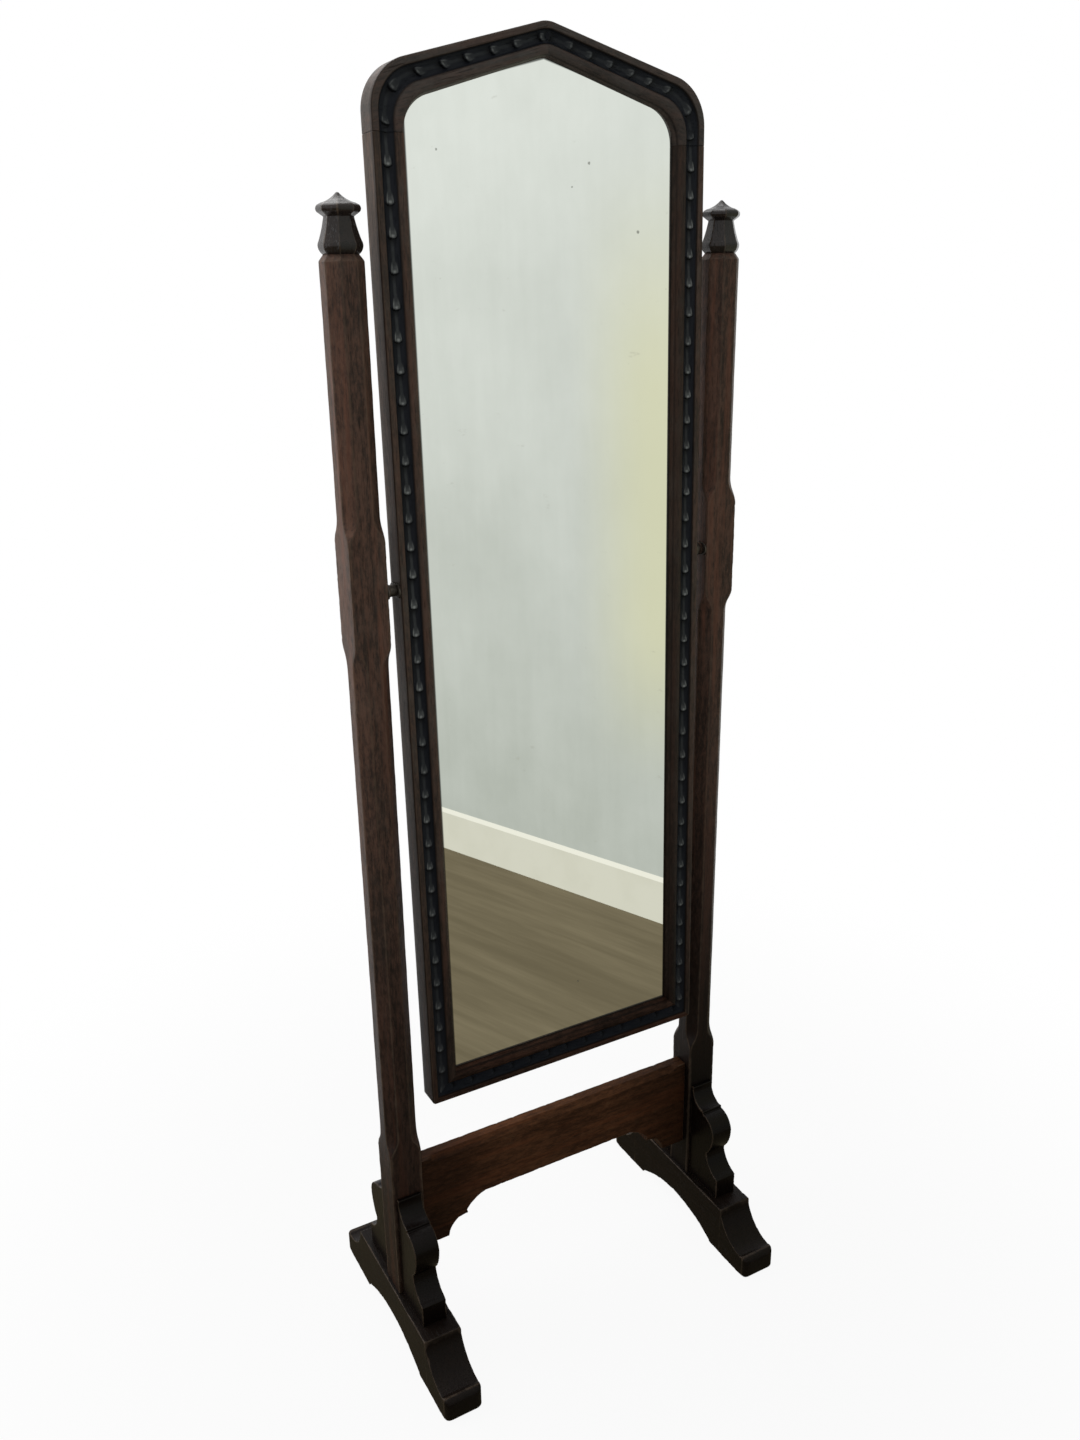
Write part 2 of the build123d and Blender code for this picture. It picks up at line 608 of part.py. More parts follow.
def glass_blocks():
    # softwood blocks between glass and backboard, against the rebate wall
    y0 = FRAME_FRONT + GLASS_DEPTH + GLASS_THICK
    depth = FRAME_THICK - BACKBOARD_THICK - GLASS_DEPTH - GLASS_THICK
    side = Box(BLOCK_WIDTH, depth, BLOCK_LENGTH, align=(Align.MIN, Align.MIN, Align.CENTER))
    low = FRAME_BOTTOM + REBATE_WALL
    out = []
    for share in (0.12, 0.5, 0.88):
        z = low + (JOINT_Z - low) * share
        out.append(Pos(-HALF_FRAME + REBATE_WALL, y0, z) * side)
    flat = Box(BLOCK_LENGTH, depth, BLOCK_WIDTH, align=(Align.CENTER, Align.MIN, Align.MIN))
    out.append(Pos(-HALF_FRAME * 0.45, y0, low) * flat)
    along = HALF_FRAME * 0.45
    z = FRAME_APEX - along * math.tan(SLOPE) - REBATE_WALL / math.cos(SLOPE)
    head = Box(BLOCK_LENGTH, depth, BLOCK_WIDTH, align=(Align.CENTER, Align.MIN, Align.MAX))
    out.append(Pos(-along, y0, z) * Rot(0, -HEAD_SLOPE, 0) * head)
    return out + [mirrored(b) for b in out]


def board_screw_places():
    # heads flush with the back of the board, over the middle of the ledge; left half only
    y = FRAME_FRONT + FRAME_THICK
    ledge = (BACK_WALL + BACKBOARD_GAP + REBATE_WALL) / 2
    x = -HALF_FRAME + ledge
    low = FRAME_BOTTOM + ledge
    places = []
    for share in (0.06, 0.36, 0.66, 0.95):
        places.append(((x, y, low + (JOINT_Z - low) * share), (0, -1, 0)))
    places.append(((-HALF_FRAME * 0.55, y, low), (0, -1, 0)))
    for share in (0.15, 0.62):
        along = HALF_FRAME * share
        z = FRAME_APEX - along * math.tan(SLOPE) - ledge / math.cos(SLOPE)
        places.append(((-along, y, z), (0, -1, 0)))
    return places


def board_middle_screw_place():
    ledge = (BACK_WALL + BACKBOARD_GAP + REBATE_WALL) / 2
    return ((0, FRAME_FRONT + FRAME_THICK, FRAME_BOTTOM + ledge), (0, -1, 0))


# pivot fittings

def plate(x_outer, stud_hole):
    # oval steel plate, its long axis front to back, stud hole between two countersunk screws
    with BuildSketch(Plane.YZ.offset(x_outer)) as face:
        with Locations((-PIVOT_SETBACK, PIVOT_HEIGHT)):
            SlotOverall(PLATE_LENGTH, PLATE_WIDTH)
            Circle(stud_hole / 2, mode=Mode.SUBTRACT)
    return extrude(face.sketch, PLATE_THICK)


def post_plate():
    body = plate(-POST_INNER, STUD_DIA + 2 * STUD_RUNNING_CLEARANCE)
    body -= [screw(*place, PLATE_SCREW_LENGTH, FIT, False) for place in post_plate_screw_places()]
    return body


def frame_plate():
    body = plate(-HALF_FRAME - PLATE_THICK, STUD_SHANK_DIA + 2 * FIT)
    body -= [screw(*place, PLATE_SCREW_LENGTH, FIT, False) for place in frame_plate_screw_places()]
    return body


def post_plate_screw_places():
    x = -POST_INNER + PLATE_THICK
    return [
        ((x, -PIVOT_SETBACK + side * PLATE_SCREW_SPACING / 2, PIVOT_HEIGHT), (-1, 0, 0)) for side in (-1, 1)
    ]


def frame_plate_screw_places():
    x = -HALF_FRAME - PLATE_THICK
    return [
        ((x, -PIVOT_SETBACK + side * PLATE_SCREW_SPACING / 2, PIVOT_HEIGHT), (1, 0, 0)) for side in (-1, 1)
    ]


def washer():
    x = -POST_INNER + PLATE_THICK
    ring = rod((x, -PIVOT_SETBACK, PIVOT_HEIGHT), (1, 0, 0), WASHER_DIA, WASHER_THICK)
    bore = rod((x - 1, -PIVOT_SETBACK, PIVOT_HEIGHT), (1, 0, 0), STUD_DIA + 2 * FIT, WASHER_THICK + 2)
    return ring - bore


def stud():
    # shank in the stile, collar against the frame plate, journal turning in the post
    face = -HALF_FRAME - PLATE_THICK
    collar_end = -POST_INNER + PLATE_THICK + WASHER_THICK
    y, z = -PIVOT_SETBACK, PIVOT_HEIGHT
    shank = rod((face, y, z), (1, 0, 0), STUD_SHANK_DIA, PLATE_THICK + STUD_SHANK_LENGTH)
    collar = rod((collar_end, y, z), (1, 0, 0), STUD_COLLAR_DIA, face - collar_end)
    tip = -POST_INNER - STUD_IN_POST
    journal = rod((tip, y, z), (1, 0, 0), STUD_DIA, collar_end - tip)
    return collar + shank + journal


def node(name, *shapes):
    solids = []
    for shape in shapes:
        items = shape if isinstance(shape, (list, tuple)) else [shape]
        for item in items:
            solids.extend(item.solids())
    thing = solids[0] if len(solids) == 1 else Compound(children=solids)
    export_step(thing, os.path.join("parts", name + ".step"))


def main():
    os.makedirs("parts", exist_ok=True)

    left_foot = foot()
    node("left_foot", left_foot)
    node("right_foot", mirrored(left_foot))
    left_post = post()
    node("left_post", left_post)
    node("right_post", mirrored(left_post))
    left_finial = finial()
    node("left_finial", left_finial)
    node("right_finial", mirrored(left_finial))
    node("finial_dowels", finial_dowel(), mirrored(finial_dowel()))
    front = bracket()
    node("left_front_bracket", front)
    node("left_rear_bracket", backed(front))
    node("right_front_bracket", mirrored(front))
    node("right_rear_bracket", backed(mirrored(front)))
    pair = bracket_dowel_pair()
    pins = pair + [backed(p) for p in pair]
    node("bracket_dowels", pins, [mirrored(p) for p in pins])
    node("stretcher_rail", stretcher_rail())
    node("post_plates", post_plate(), mirrored(post_plate()))
    screws = [screw(*place, PLATE_SCREW_LENGTH) for place in post_plate_screw_places()]
    node("post_plate_screws", screws, [mirrored(s) for s in screws])

    left_stile = tilted(stile())
    node("left_stile", left_stile)
    node("right_stile", mirrored(left_stile))
    left_head = tilted(head_rail())
    node("left_head_rail", left_head)
    node("right_head_rail", mirrored(left_head))
    node("bottom_rail", tilted(bottom_rail()))
    dowels = [tilted(d) for d in frame_dowels_left()]
    node("frame_dowels", dowels, [mirrored(d) for d in dowels], [tilted(d) for d in apex_dowels()])
    node("mirror_glass", tilted(mirror_glass()))
    node("backboard", tilted(backboard()))
    node("glass_blocks", [tilted(b) for b in glass_blocks()])
    screws = [tilted(screw(*place, BOARD_SCREW_LENGTH)) for place in board_screw_places()]
    middle = tilted(screw(*board_middle_screw_place(), BOARD_SCREW_LENGTH))
    node("backboard_screws", screws, [mirrored(s) for s in screws], middle)
    left_plate = tilted(frame_plate())
    node("frame_plates", left_plate, mirrored(left_plate))
    screws = [tilted(screw(*place, PLATE_SCREW_LENGTH)) for place in frame_plate_screw_places()]
    node("frame_plate_screws", screws, [mirrored(s) for s in screws])
    node("pivot_studs", tilted(stud()), mirrored(tilted(stud())))
    node("friction_washers", tilted(washer()), mirrored(tilted(washer())))


main()
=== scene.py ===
import math

import bpy
import numpy as np
from bpy.props import FloatProperty, FloatVectorProperty, IntProperty, PointerProperty
from bpy.types import Operator, Panel, PropertyGroup
from mathutils import Matrix


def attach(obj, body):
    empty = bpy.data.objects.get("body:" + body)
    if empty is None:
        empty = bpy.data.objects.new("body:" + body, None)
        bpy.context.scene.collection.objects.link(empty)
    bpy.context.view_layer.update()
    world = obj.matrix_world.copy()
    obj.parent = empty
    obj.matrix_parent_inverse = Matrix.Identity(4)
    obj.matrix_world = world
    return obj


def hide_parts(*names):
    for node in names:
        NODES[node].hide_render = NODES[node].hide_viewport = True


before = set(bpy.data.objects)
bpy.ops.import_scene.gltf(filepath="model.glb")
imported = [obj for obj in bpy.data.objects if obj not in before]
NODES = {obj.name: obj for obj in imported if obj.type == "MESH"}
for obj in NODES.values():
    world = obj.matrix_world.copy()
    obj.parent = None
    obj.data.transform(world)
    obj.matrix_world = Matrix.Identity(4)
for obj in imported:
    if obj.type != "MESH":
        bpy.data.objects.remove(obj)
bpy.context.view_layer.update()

bl_info = {
    "name": "Cheval mirror",
    "version": (1, 0, 0),
    "blender": (4, 5, 0),
    "location": "View3D > Sidebar > Cheval mirror",
    "description": "Dresses the packed cheval mirror: carved frame, chamfered posts, feet and their finishes",
    "category": "Object",
}

# axis of the studs in metres, and how far the mirror leans back at rest
PIVOT = (0.0, -0.008, 1.0733)
REST_TILT = math.radians(1.2)

# moulding of the frame, in millimetres: widths of outer bead, hollow and inner bead, the drop beside each
# bead and the hollow's depth; then, inward from the outer edge, the sight edge, the lip at the glass, the
# rebate of the glass and the ledge of the backboard
BEAD, HOLLOW, INNER, DROP, DEPTH = 8.6, 16.0, 10.9, 2.0, 4.0
SIGHT = BEAD + HOLLOW + INNER
LIP = SIGHT + 2.9
REBATE = LIP - 9.2
LEDGE = REBATE - 8.0
LIP_DEPTH, GLASS_DEPTH = 11.0, 24.0
HOLLOW_MIDDLE = BEAD + HOLLOW / 2
# share of the section's width that is left at the apex, growth of the shoulder's radius from the outer
# edge to the sight edge in millimetres, and length of the straight stub below each shoulder
HEAD_TAPER = 0.86
SHOULDER_GROWTH = 24.0
STUB = 20.0
# reach of the worn rounding at the apex, and radius of the gouge that cut the tongues' ends
APEX_EASE = 9.0
GOUGE = 6.6

# foxed specks of the old silvering: across, up and radius, in metres
SPECKS = ((-0.1323, 1.5366, 0.0016), (0.0556, 1.5285, 0.0022), (0.0330, 1.5033, 0.0014),
          (0.1215, 1.4568, 0.0026), (0.0237, 0.4913, 0.0021))


def srgb(red, green, blue):
    """Linear colour of three display values from 0 to 255."""
    values = np.array([red, green, blue]) / 255
    return tuple(np.where(values <= 0.04045, values / 12.92, ((values + 0.055) / 1.055) ** 2.4))


# sizes and colours

class StandSizes(PropertyGroup):
    """Sizes of posts, feet, brackets and rail."""
    post_size: FloatProperty(name="Post size", description="Square stock of the posts", default=0.0445,
                             unit="LENGTH")
    post_centre: FloatProperty(name="Post centre", description="From the middle to each post's axis",
                               default=0.2443, unit="LENGTH")
    post_top: FloatProperty(name="Post top", description="Height of the top arris of the posts",
                            default=1.427, unit="LENGTH")
    post_bevel: FloatProperty(name="Post bevel", description="Rise of the bevelled shoulder over that arris",
                              default=0.0065, unit="LENGTH")
    lower_block: FloatProperty(name="Lower block", description="Height where the lowest stops begin",
                               default=0.300, unit="LENGTH")
    pivot_block: FloatProperty(name="Pivot block", description="Length of the square part round the pivot",
                               default=0.105, unit="LENGTH")
    stop_length: FloatProperty(name="Stop length", description="Length of each curved chamfer stop",
                               default=0.036, unit="LENGTH")
    finial_seat: FloatProperty(name="Finial seat", description="Width of a finial where it meets its post",
                               default=0.0352, unit="LENGTH")
    finial_bulb: FloatProperty(name="Finial bulb", description="Width of the bulb over its faces",
                               default=0.0438, unit="LENGTH")
    finial_neck: FloatProperty(name="Finial neck", description="Width of the neck under the cap",
                               default=0.0294, unit="LENGTH")
    finial_cap: FloatProperty(name="Finial cap", description="Width of the cap over its rim",
                              default=0.0434, unit="LENGTH")
    finial_height: FloatProperty(name="Finial height", description="Seat to tip", default=0.0598,
                                 unit="LENGTH")
    foot_length: FloatProperty(name="Foot length", description="Front to back", default=0.361, unit="LENGTH")
    foot_width: FloatProperty(name="Foot width", description="Thickness of each foot", default=0.054,
                              unit="LENGTH")
    foot_height: FloatProperty(name="Foot height", description="Height of the raised flat",
                               default=0.0795, unit="LENGTH")
    foot_flat: FloatProperty(name="Foot flat", description="From the post's axis to the end of the flat",
                             default=0.117, unit="LENGTH")
    toe_height: FloatProperty(name="Toe height", description="Height of the toe's lip", default=0.0325,
                              unit="LENGTH")
    bracket_height: FloatProperty(name="Bracket height", description="Height of each bracket on its foot",
                                  default=0.1605, unit="LENGTH")
    bracket_reach: FloatProperty(name="Bracket reach", description="Length of each bracket along its foot",
                                 default=0.070, unit="LENGTH")
    bracket_width: FloatProperty(name="Bracket width", description="Thickness of each bracket",
                                 default=0.035, unit="LENGTH")
    rail_thickness: FloatProperty(name="Rail thickness", description="Front to back", default=0.022,
                                  unit="LENGTH")
    rail_top: FloatProperty(name="Rail top", description="Height of the rail's top edge", default=0.276,
                            unit="LENGTH")
    rail_middle: FloatProperty(name="Rail middle", description="Height of the rail between its coves",
                               default=0.089, unit="LENGTH")
    rail_end: FloatProperty(name="Rail end", description="Height of the rail where it meets the posts",
                            default=0.143, unit="LENGTH")
    arris: FloatProperty(name="Arris", description="Radius that handling has worn on the edges",
                         default=0.0013, unit="LENGTH")


class FrameSizes(PropertyGroup):
    """Sizes of the mirror frame and its carving."""
    width: FloatProperty(name="Width", description="Over both stiles", default=0.4144, unit="LENGTH")
    bottom: FloatProperty(name="Bottom", description="Height of the lower edge with the mirror upright",
                          default=0.3813, unit="LENGTH")
    height: FloatProperty(name="Height", description="Lower edge to apex", default=1.284, unit="LENGTH")
    thickness: FloatProperty(name="Thickness", description="Front to back", default=0.030, unit="LENGTH")
    front: FloatProperty(name="Front", description="Depth of the face with the mirror upright",
                         default=-0.023, unit="LENGTH")
    slope: FloatProperty(name="Head slope", description="Fall of each head rail", default=math.radians(15),
                         subtype="ANGLE")
    shoulder: FloatProperty(name="Shoulder", description="Outer radius of the rounded shoulders",
                            default=0.052, unit="LENGTH")
    tongue_lift: FloatProperty(name="Tongue lift", description="Height of each carved tongue over the hollow",
                               default=0.0032, unit="LENGTH")
    tongue_width: FloatProperty(name="Tongue width", description="Width of each carved tongue",
                                default=0.0118, unit="LENGTH")
    tongue_seed: IntProperty(name="Tongue seed", description="Changes the unevenness of the hand carving",
                             default=7)


class Finishes(PropertyGroup):
    """Colours of the stains and metals, and of the painted highlights on the carved tongues."""
    oak: FloatVectorProperty(name="Oak", description="Dark stain on the face of the wood", subtype="COLOR",
                             size=3, default=srgb(94, 70, 58), min=0, max=1)
    oak_dark: FloatVectorProperty(name="Dark grain", description="Stain in the open grain", subtype="COLOR",
                                  size=3, default=srgb(32, 21, 17), min=0, max=1)
    oak_worn: FloatVectorProperty(name="Worn oak", description="Edges where the stain has rubbed off",
                                  subtype="COLOR", size=3, default=srgb(104, 88, 72), min=0, max=1)
    oak_dust: FloatVectorProperty(name="Bloom", description="Greyed old wax", subtype="COLOR",
                                  size=3, default=srgb(96, 91, 84), min=0, max=1)
    oak_red: FloatVectorProperty(name="Red streaks", description="Streaks where the red stain shows through",
                                 subtype="COLOR", size=3, default=srgb(112, 72, 54), min=0, max=1)
    # colour of the painted highlights on the tongues' ends, which also stands for their rubbed wear
    tongue_highlight: FloatVectorProperty(name="Tongue ends", description="Rubbed ends of the carved tongues",
                                    subtype="COLOR", size=3, default=srgb(150, 154, 150), min=0, max=1)
    ebony: FloatVectorProperty(name="Ebonised", description="Blue-black stain in the hollow", subtype="COLOR",
                               size=3, default=srgb(22, 25, 31), min=0, max=1)
    steel: FloatVectorProperty(name="Steel", description="Dulled pivot fittings and screws", subtype="COLOR",
                               size=3, default=srgb(72, 66, 60), min=0, max=1)
    silver: FloatVectorProperty(name="Silvering", description="Tint of the old mirror plate", subtype="COLOR",
                                size=3, default=srgb(250, 250, 248), min=0, max=1)


def mm(value):
    """Millimetres of a size in metres."""
    return value * 1000


def shaded(colour, share):
    """The colour made darker, or lighter, by one factor."""
    return tuple(share * v for v in colour)


def sided(side, name):
    """The name of a piece on one side: -1 is left and 1 is right."""
    return ("left_" if side < 0 else "right_") + name


# outlines, in millimetres

def arc(start, middle, end, steps=8):
    """Circle through three points: its centre is where the two chords' bisectors meet, and the points
    turn about it by equal angles from the first to the last."""
    a, b, c = (complex(*p) for p in (start, middle, end))
    w = (c - a) / (b - a)
    centre = (b - a) * (w - abs(w) ** 2) / (w - w.conjugate()) + a
    whole = np.angle((c - centre) / (a - centre))
    part = np.angle((b - centre) / (a - centre))
    if part * whole < 0 or abs(part) > abs(whole):
        whole -= math.copysign(2 * math.pi, whole)
    points = centre + (a - centre) * np.exp(1j * whole * np.linspace(0, 1, steps + 1))
    return np.column_stack([points.real, points.imag])


def bend(start, end, direction, steps=8):
    """Circle from start to end that leaves start along the direction: its centre lies square to the
    direction, at chord squared over twice the chord's reach to that side."""
    s, e = np.array(start, float), np.array(end, float)
    d = np.array(direction, float) / math.hypot(*direction)
    side = np.array([-d[1], d[0]])
    chord = e - s
    radius = chord @ chord / (2 * (chord @ side))
    centre = s + side * radius
    half = math.atan2(chord @ side, chord @ d)
    turn = 2 * half * np.linspace(0, 1, steps + 1)
    spoke = s - centre
    cos, sin = np.cos(turn), np.sin(turn)
    return centre + np.column_stack([spoke[0] * cos - spoke[1] * sin, spoke[0] * sin + spoke[1] * cos])


def chain(*parts):
    """One line of points from points and arcs, without the doubles where they meet."""
    points = np.vstack([np.atleast_2d(np.array(p, float)) for p in parts])
    keep = np.r_[True, np.hypot(*np.diff(points, axis=0).T) > 1e-6]
    points = points[keep]
    if np.hypot(*(points[0] - points[-1])) < 1e-6:
        points = points[:-1]
    return points


def refined(points, step):
    """Closed outline with every side cut into equal lengths of at most one step."""
    ahead = np.roll(points, -1, 0) - points
    count = np.maximum(1, np.ceil(np.hypot(*ahead.T) / step)).astype(int)
    start = np.repeat(np.arange(len(points)), count)
    share = (np.arange(count.sum()) - np.repeat(np.cumsum(count) - count, count)) / np.repeat(count, count)
    return points[start] + ahead[start] * share[:, None]


def eased(points, radius, steps=3):
    """Closed outline with every corner replaced by a parabola that touches both of its sides at radius
    times the tangent of half the turn."""
    before = points - np.roll(points, 1, 0)
    after = np.roll(points, -1, 0) - points
    lb, la = np.hypot(*before.T), np.hypot(*after.T)
    db, da = before / lb[:, None], after / la[:, None]
    turn = np.arccos(np.clip((db * da).sum(1), -1, 1))
    reach = np.minimum(radius * np.tan(np.minimum(turn, 2.4) / 2), 0.45 * np.minimum(lb, la))[:, None]
    u = np.linspace(0, 1, steps + 1)[None, :, None]
    a, p, b = ((points + k)[:, None] for k in (-db * reach, 0 * db, da * reach))
    smooth = (1 - u) ** 2 * a + 2 * u * (1 - u) * p + u ** 2 * b
    flat = smooth.reshape(-1, 2)
    keep = np.hypot(*(flat - np.roll(flat, 1, 0)).T) > 1e-3
    return flat[keep]


def inward(points):
    """Mitre vector at each point of a closed outline: moving by it draws both sides in by one unit."""
    area = 0.5 * np.sum(points[:, 0] * np.roll(points[:, 1], -1) - np.roll(points[:, 0], -1) * points[:, 1])
    ahead = np.roll(points, -1, 0) - points
    ahead /= np.hypot(*ahead.T)[:, None]
    normal = np.column_stack([-ahead[:, 1], ahead[:, 0]]) * np.sign(area)
    back = np.roll(normal, 1, 0)
    return (normal + back) / np.maximum(0.35, 1 + (normal * back).sum(1))[:, None]


def roomy(outline):
    """How far each point of a closed outline can move in before its sides pass each other: on convex
    corners, under half of the shorter side over the tangent of half the turn; in necks, under half of
    the way across; and no more than the limit of any other point plus the outline between them."""
    ahead = np.roll(outline, -1, 0) - outline
    length = np.hypot(*ahead.T)
    ahead = ahead / length[:, None]
    back = np.roll(ahead, 1, 0)
    area = np.sum(outline[:, 0] * np.roll(outline[:, 1], -1) - np.roll(outline[:, 0], -1) * outline[:, 1])
    cross = back[:, 0] * ahead[:, 1] - back[:, 1] * ahead[:, 0]
    turn = np.arctan2(cross, (back * ahead).sum(1)) * np.sign(area)
    shorter = np.minimum(length, np.roll(length, 1))
    limit = np.where(turn > 0.01, 0.45 * shorter / np.tan(np.maximum(turn, 0.01) / 2), 50.0)
    place = np.cumsum(length) - length
    apart = np.abs(place[:, None] - place[None])
    apart = np.minimum(apart, length.sum() - apart)
    gap = np.hypot(*(outline[:, None] - outline[None]).transpose(2, 0, 1))
    limit = np.minimum(limit, np.where(apart > 2.2 * gap, 0.4 * gap + 50.0 * (gap == 0), 50.0).min(1))
    return (limit[None] + 0.6 * apart).min(1)


def waver(position, seed, waves=6, longest=160.0, shortest=9.0):
    """Smooth unevenness from -1 to 1 along a length: a sum of sines, their lengths spread between the
    longest and the shortest, each with a seeded phase, over the root of their number."""
    rng = np.random.default_rng(seed)
    length = longest * (shortest / longest) ** np.linspace(0, 1, waves)
    phase = rng.uniform(0, 2 * math.pi, waves)
    p = np.asarray(position, float)[..., None]
    return np.clip(np.sin(2 * math.pi * p / length + phase).sum(-1) / math.sqrt(waves) / 1.3, -1, 1)


# meshes

def skin(name, rings, **marks):
    """Closed mesh from rings of points, in millimetres: each ring is joined to the next by quads, and
    the first and last are closed by a flat face. Marks are one number for every point."""
    rows, columns = rings.shape[:2]
    index = np.arange(rows * columns).reshape(rows, columns)
    right = np.roll(index, -1, 1)
    quads = np.stack([index[:-1], right[:-1], right[1:], index[1:]], -1).reshape(-1, 4)
    points = rings.reshape(-1, 3)
    p0, p1, p2, p3 = (points[quads[:, k]] - points.mean(0) for k in range(4))
    volume = sum(np.einsum("ij,ij->i", np.cross(p, q), p0).sum() for p, q in ((p1, p2), (p2, p3)))
    caps = [index[0][::-1], index[-1]]
    if volume < 0:
        quads = quads[:, ::-1]
        caps = [cap[::-1] for cap in caps]
    mesh = bpy.data.meshes.new(name)
    mesh.from_pydata(points * 0.001, [], quads.tolist() + [cap.tolist() for cap in caps])
    for mark, values in marks.items():
        layer = mesh.attributes.new(mark, "FLOAT", "POINT")
        layer.data.foreach_set("value", np.broadcast_to(values, (rows, columns)).astype(np.float32).ravel())
    mesh.polygons.foreach_set("use_smooth", np.ones(len(mesh.polygons), bool))
    mesh.set_sharp_from_angle(angle=math.radians(40))
    mesh.update()
    piece = bpy.data.objects.new(name, mesh)
    bpy.context.scene.collection.objects.link(piece)
    return piece


def fitted(piece, node, body, material):
    """Puts the piece on its body in place of its node, with its finish."""
    piece.data.materials.append(material)
    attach(piece, body)
    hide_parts(node)
    return piece


def eight_sided(half, corner, radius):
    """Rings of a square bar with cut corners: four sides at distance half, four at distance corner on
    the diagonals, and at each of the eight edges an arc of the radius between its two sides. Returns
    the points, ring by ring, and the wear mark, which is 1 on the arcs."""
    count = len(half)
    angle = np.arange(8) * math.pi / 4
    diagonal = np.minimum(corner, half * math.sqrt(2))
    distance = np.where(np.arange(8) % 2 == 0, half[:, None], diagonal[:, None])
    radius = np.broadcast_to(radius, (count, 8))
    here = distance - radius
    ahead = np.roll(distance, -1, 1) - radius
    limit = (half[:, None] - radius) * math.sqrt(2)
    odd = np.arange(8) % 2 == 1
    here = np.where(odd, np.minimum(here, limit), here)
    ahead = np.where(np.roll(odd, -1), np.minimum(ahead, limit), ahead)
    c = math.cos(math.pi / 4)
    along = (ahead - here * c) / c
    centre = here[..., None] * np.stack([np.cos(angle), np.sin(angle)], -1) \
        + along[..., None] * np.stack([-np.sin(angle), np.cos(angle)], -1)
    sweep = angle[:, None] + np.linspace(0, math.pi / 4, 4)
    arcs = centre[:, :, None] + radius[..., None, None] * np.stack([np.cos(sweep), np.sin(sweep)], -1)
    first = np.roll(arcs[:, :, :1], -1, 1)
    last = arcs[:, :, -1:]
    share = np.array([0.12, 0.5, 0.88])[None, None, :, None]
    sides = last * (1 - share) + first * share
    points = np.concatenate([arcs, sides], 2).reshape(count, -1, 2)
    wear = np.tile(np.r_[np.ones(4), 0.25, 0, 0.25], 8)
    return points, wear


def boarded(outline, half, arris, seed):
    """Rings of a board sawn to an outline: across its thickness from -half to half, each ring drawn in
    near both faces by a quarter circle of the arris radius, which wavers along the outline. Returns
    the outline ring by ring, the place across, and the wear mark."""
    length = np.cumsum(np.r_[0, np.hypot(*np.diff(outline, axis=0).T)])
    radius = arris * (1 + 0.55 * waver(length, seed))
    radius += arris * 1.5 * np.maximum(0, waver(length, seed + 1, longest=70) - 0.62) * 2
    limit = roomy(outline)
    radius = np.minimum(radius, 0.65 * limit)
    phi = np.linspace(0, math.pi / 2, 4)
    across = [half - radius + radius * math.sin(p) for p in phi[::-1]]
    drawn = [radius * (1 - math.cos(p)) for p in phi[::-1]]
    across.append(half - radius - 0.8)
    drawn.append(0 * radius)
    edge_in = [half + 0 * radius, across[0]]
    shrink = [np.minimum(radius + 0.9, 0.95 * limit), drawn[0]]
    shares = np.linspace(1, -1, 7)[1:-1]
    middle = [(half - radius - 0.8) * s for s in shares]
    front = [edge_in[0]] + across
    inset = [shrink[0]] + drawn
    places = np.array(front + middle + [-a for a in front[::-1]])
    insets = np.array(inset + [0 * radius] * len(middle) + inset[::-1])
    wear = np.array([0.3, 1, 1, 1, 1, 0.2] + [0] * len(middle) + [0.2, 1, 1, 1, 1, 0.3])
    rings = outline[None] + inward(outline)[None] * insets[..., None]
    return rings, places, np.broadcast_to(wear[:, None], places.shape)


# finishes

class Value:
    """A number that varies over a surface. Sums and products of it add Math nodes to its finish."""

    def __init__(self, finish, socket):
        self.finish = finish
        self.socket = socket

    def math(self, operation, *others):
        """A Math node on this number and the others."""
        return self.finish.node("ShaderNodeMath", {"operation": operation}, self, *others)

    def swapped(self, operation, other):
        """A Math node with this number second."""
        return self.finish.node("ShaderNodeMath", {"operation": operation}, other, self)

    def __add__(self, other):
        return self.math("ADD", other)

    def __sub__(self, other):
        return self.math("SUBTRACT", other)

    def __rsub__(self, other):
        return self.swapped("SUBTRACT", other)

    def __mul__(self, other):
        return self.math("MULTIPLY", other)

    __radd__ = __add__
    __rmul__ = __mul__

    def clamped(self):
        """Held between 0 and 1."""
        return self.finish.node("ShaderNodeClamp", {}, self)

    def fade(self, low, high):
        """0 below low, 1 above high, a smooth rise between; high below low turns it round."""
        settings = {"interpolation_type": "SMOOTHSTEP"}
        return self.finish.node("ShaderNodeMapRange", settings, self, low, high, 0.0, 1.0)


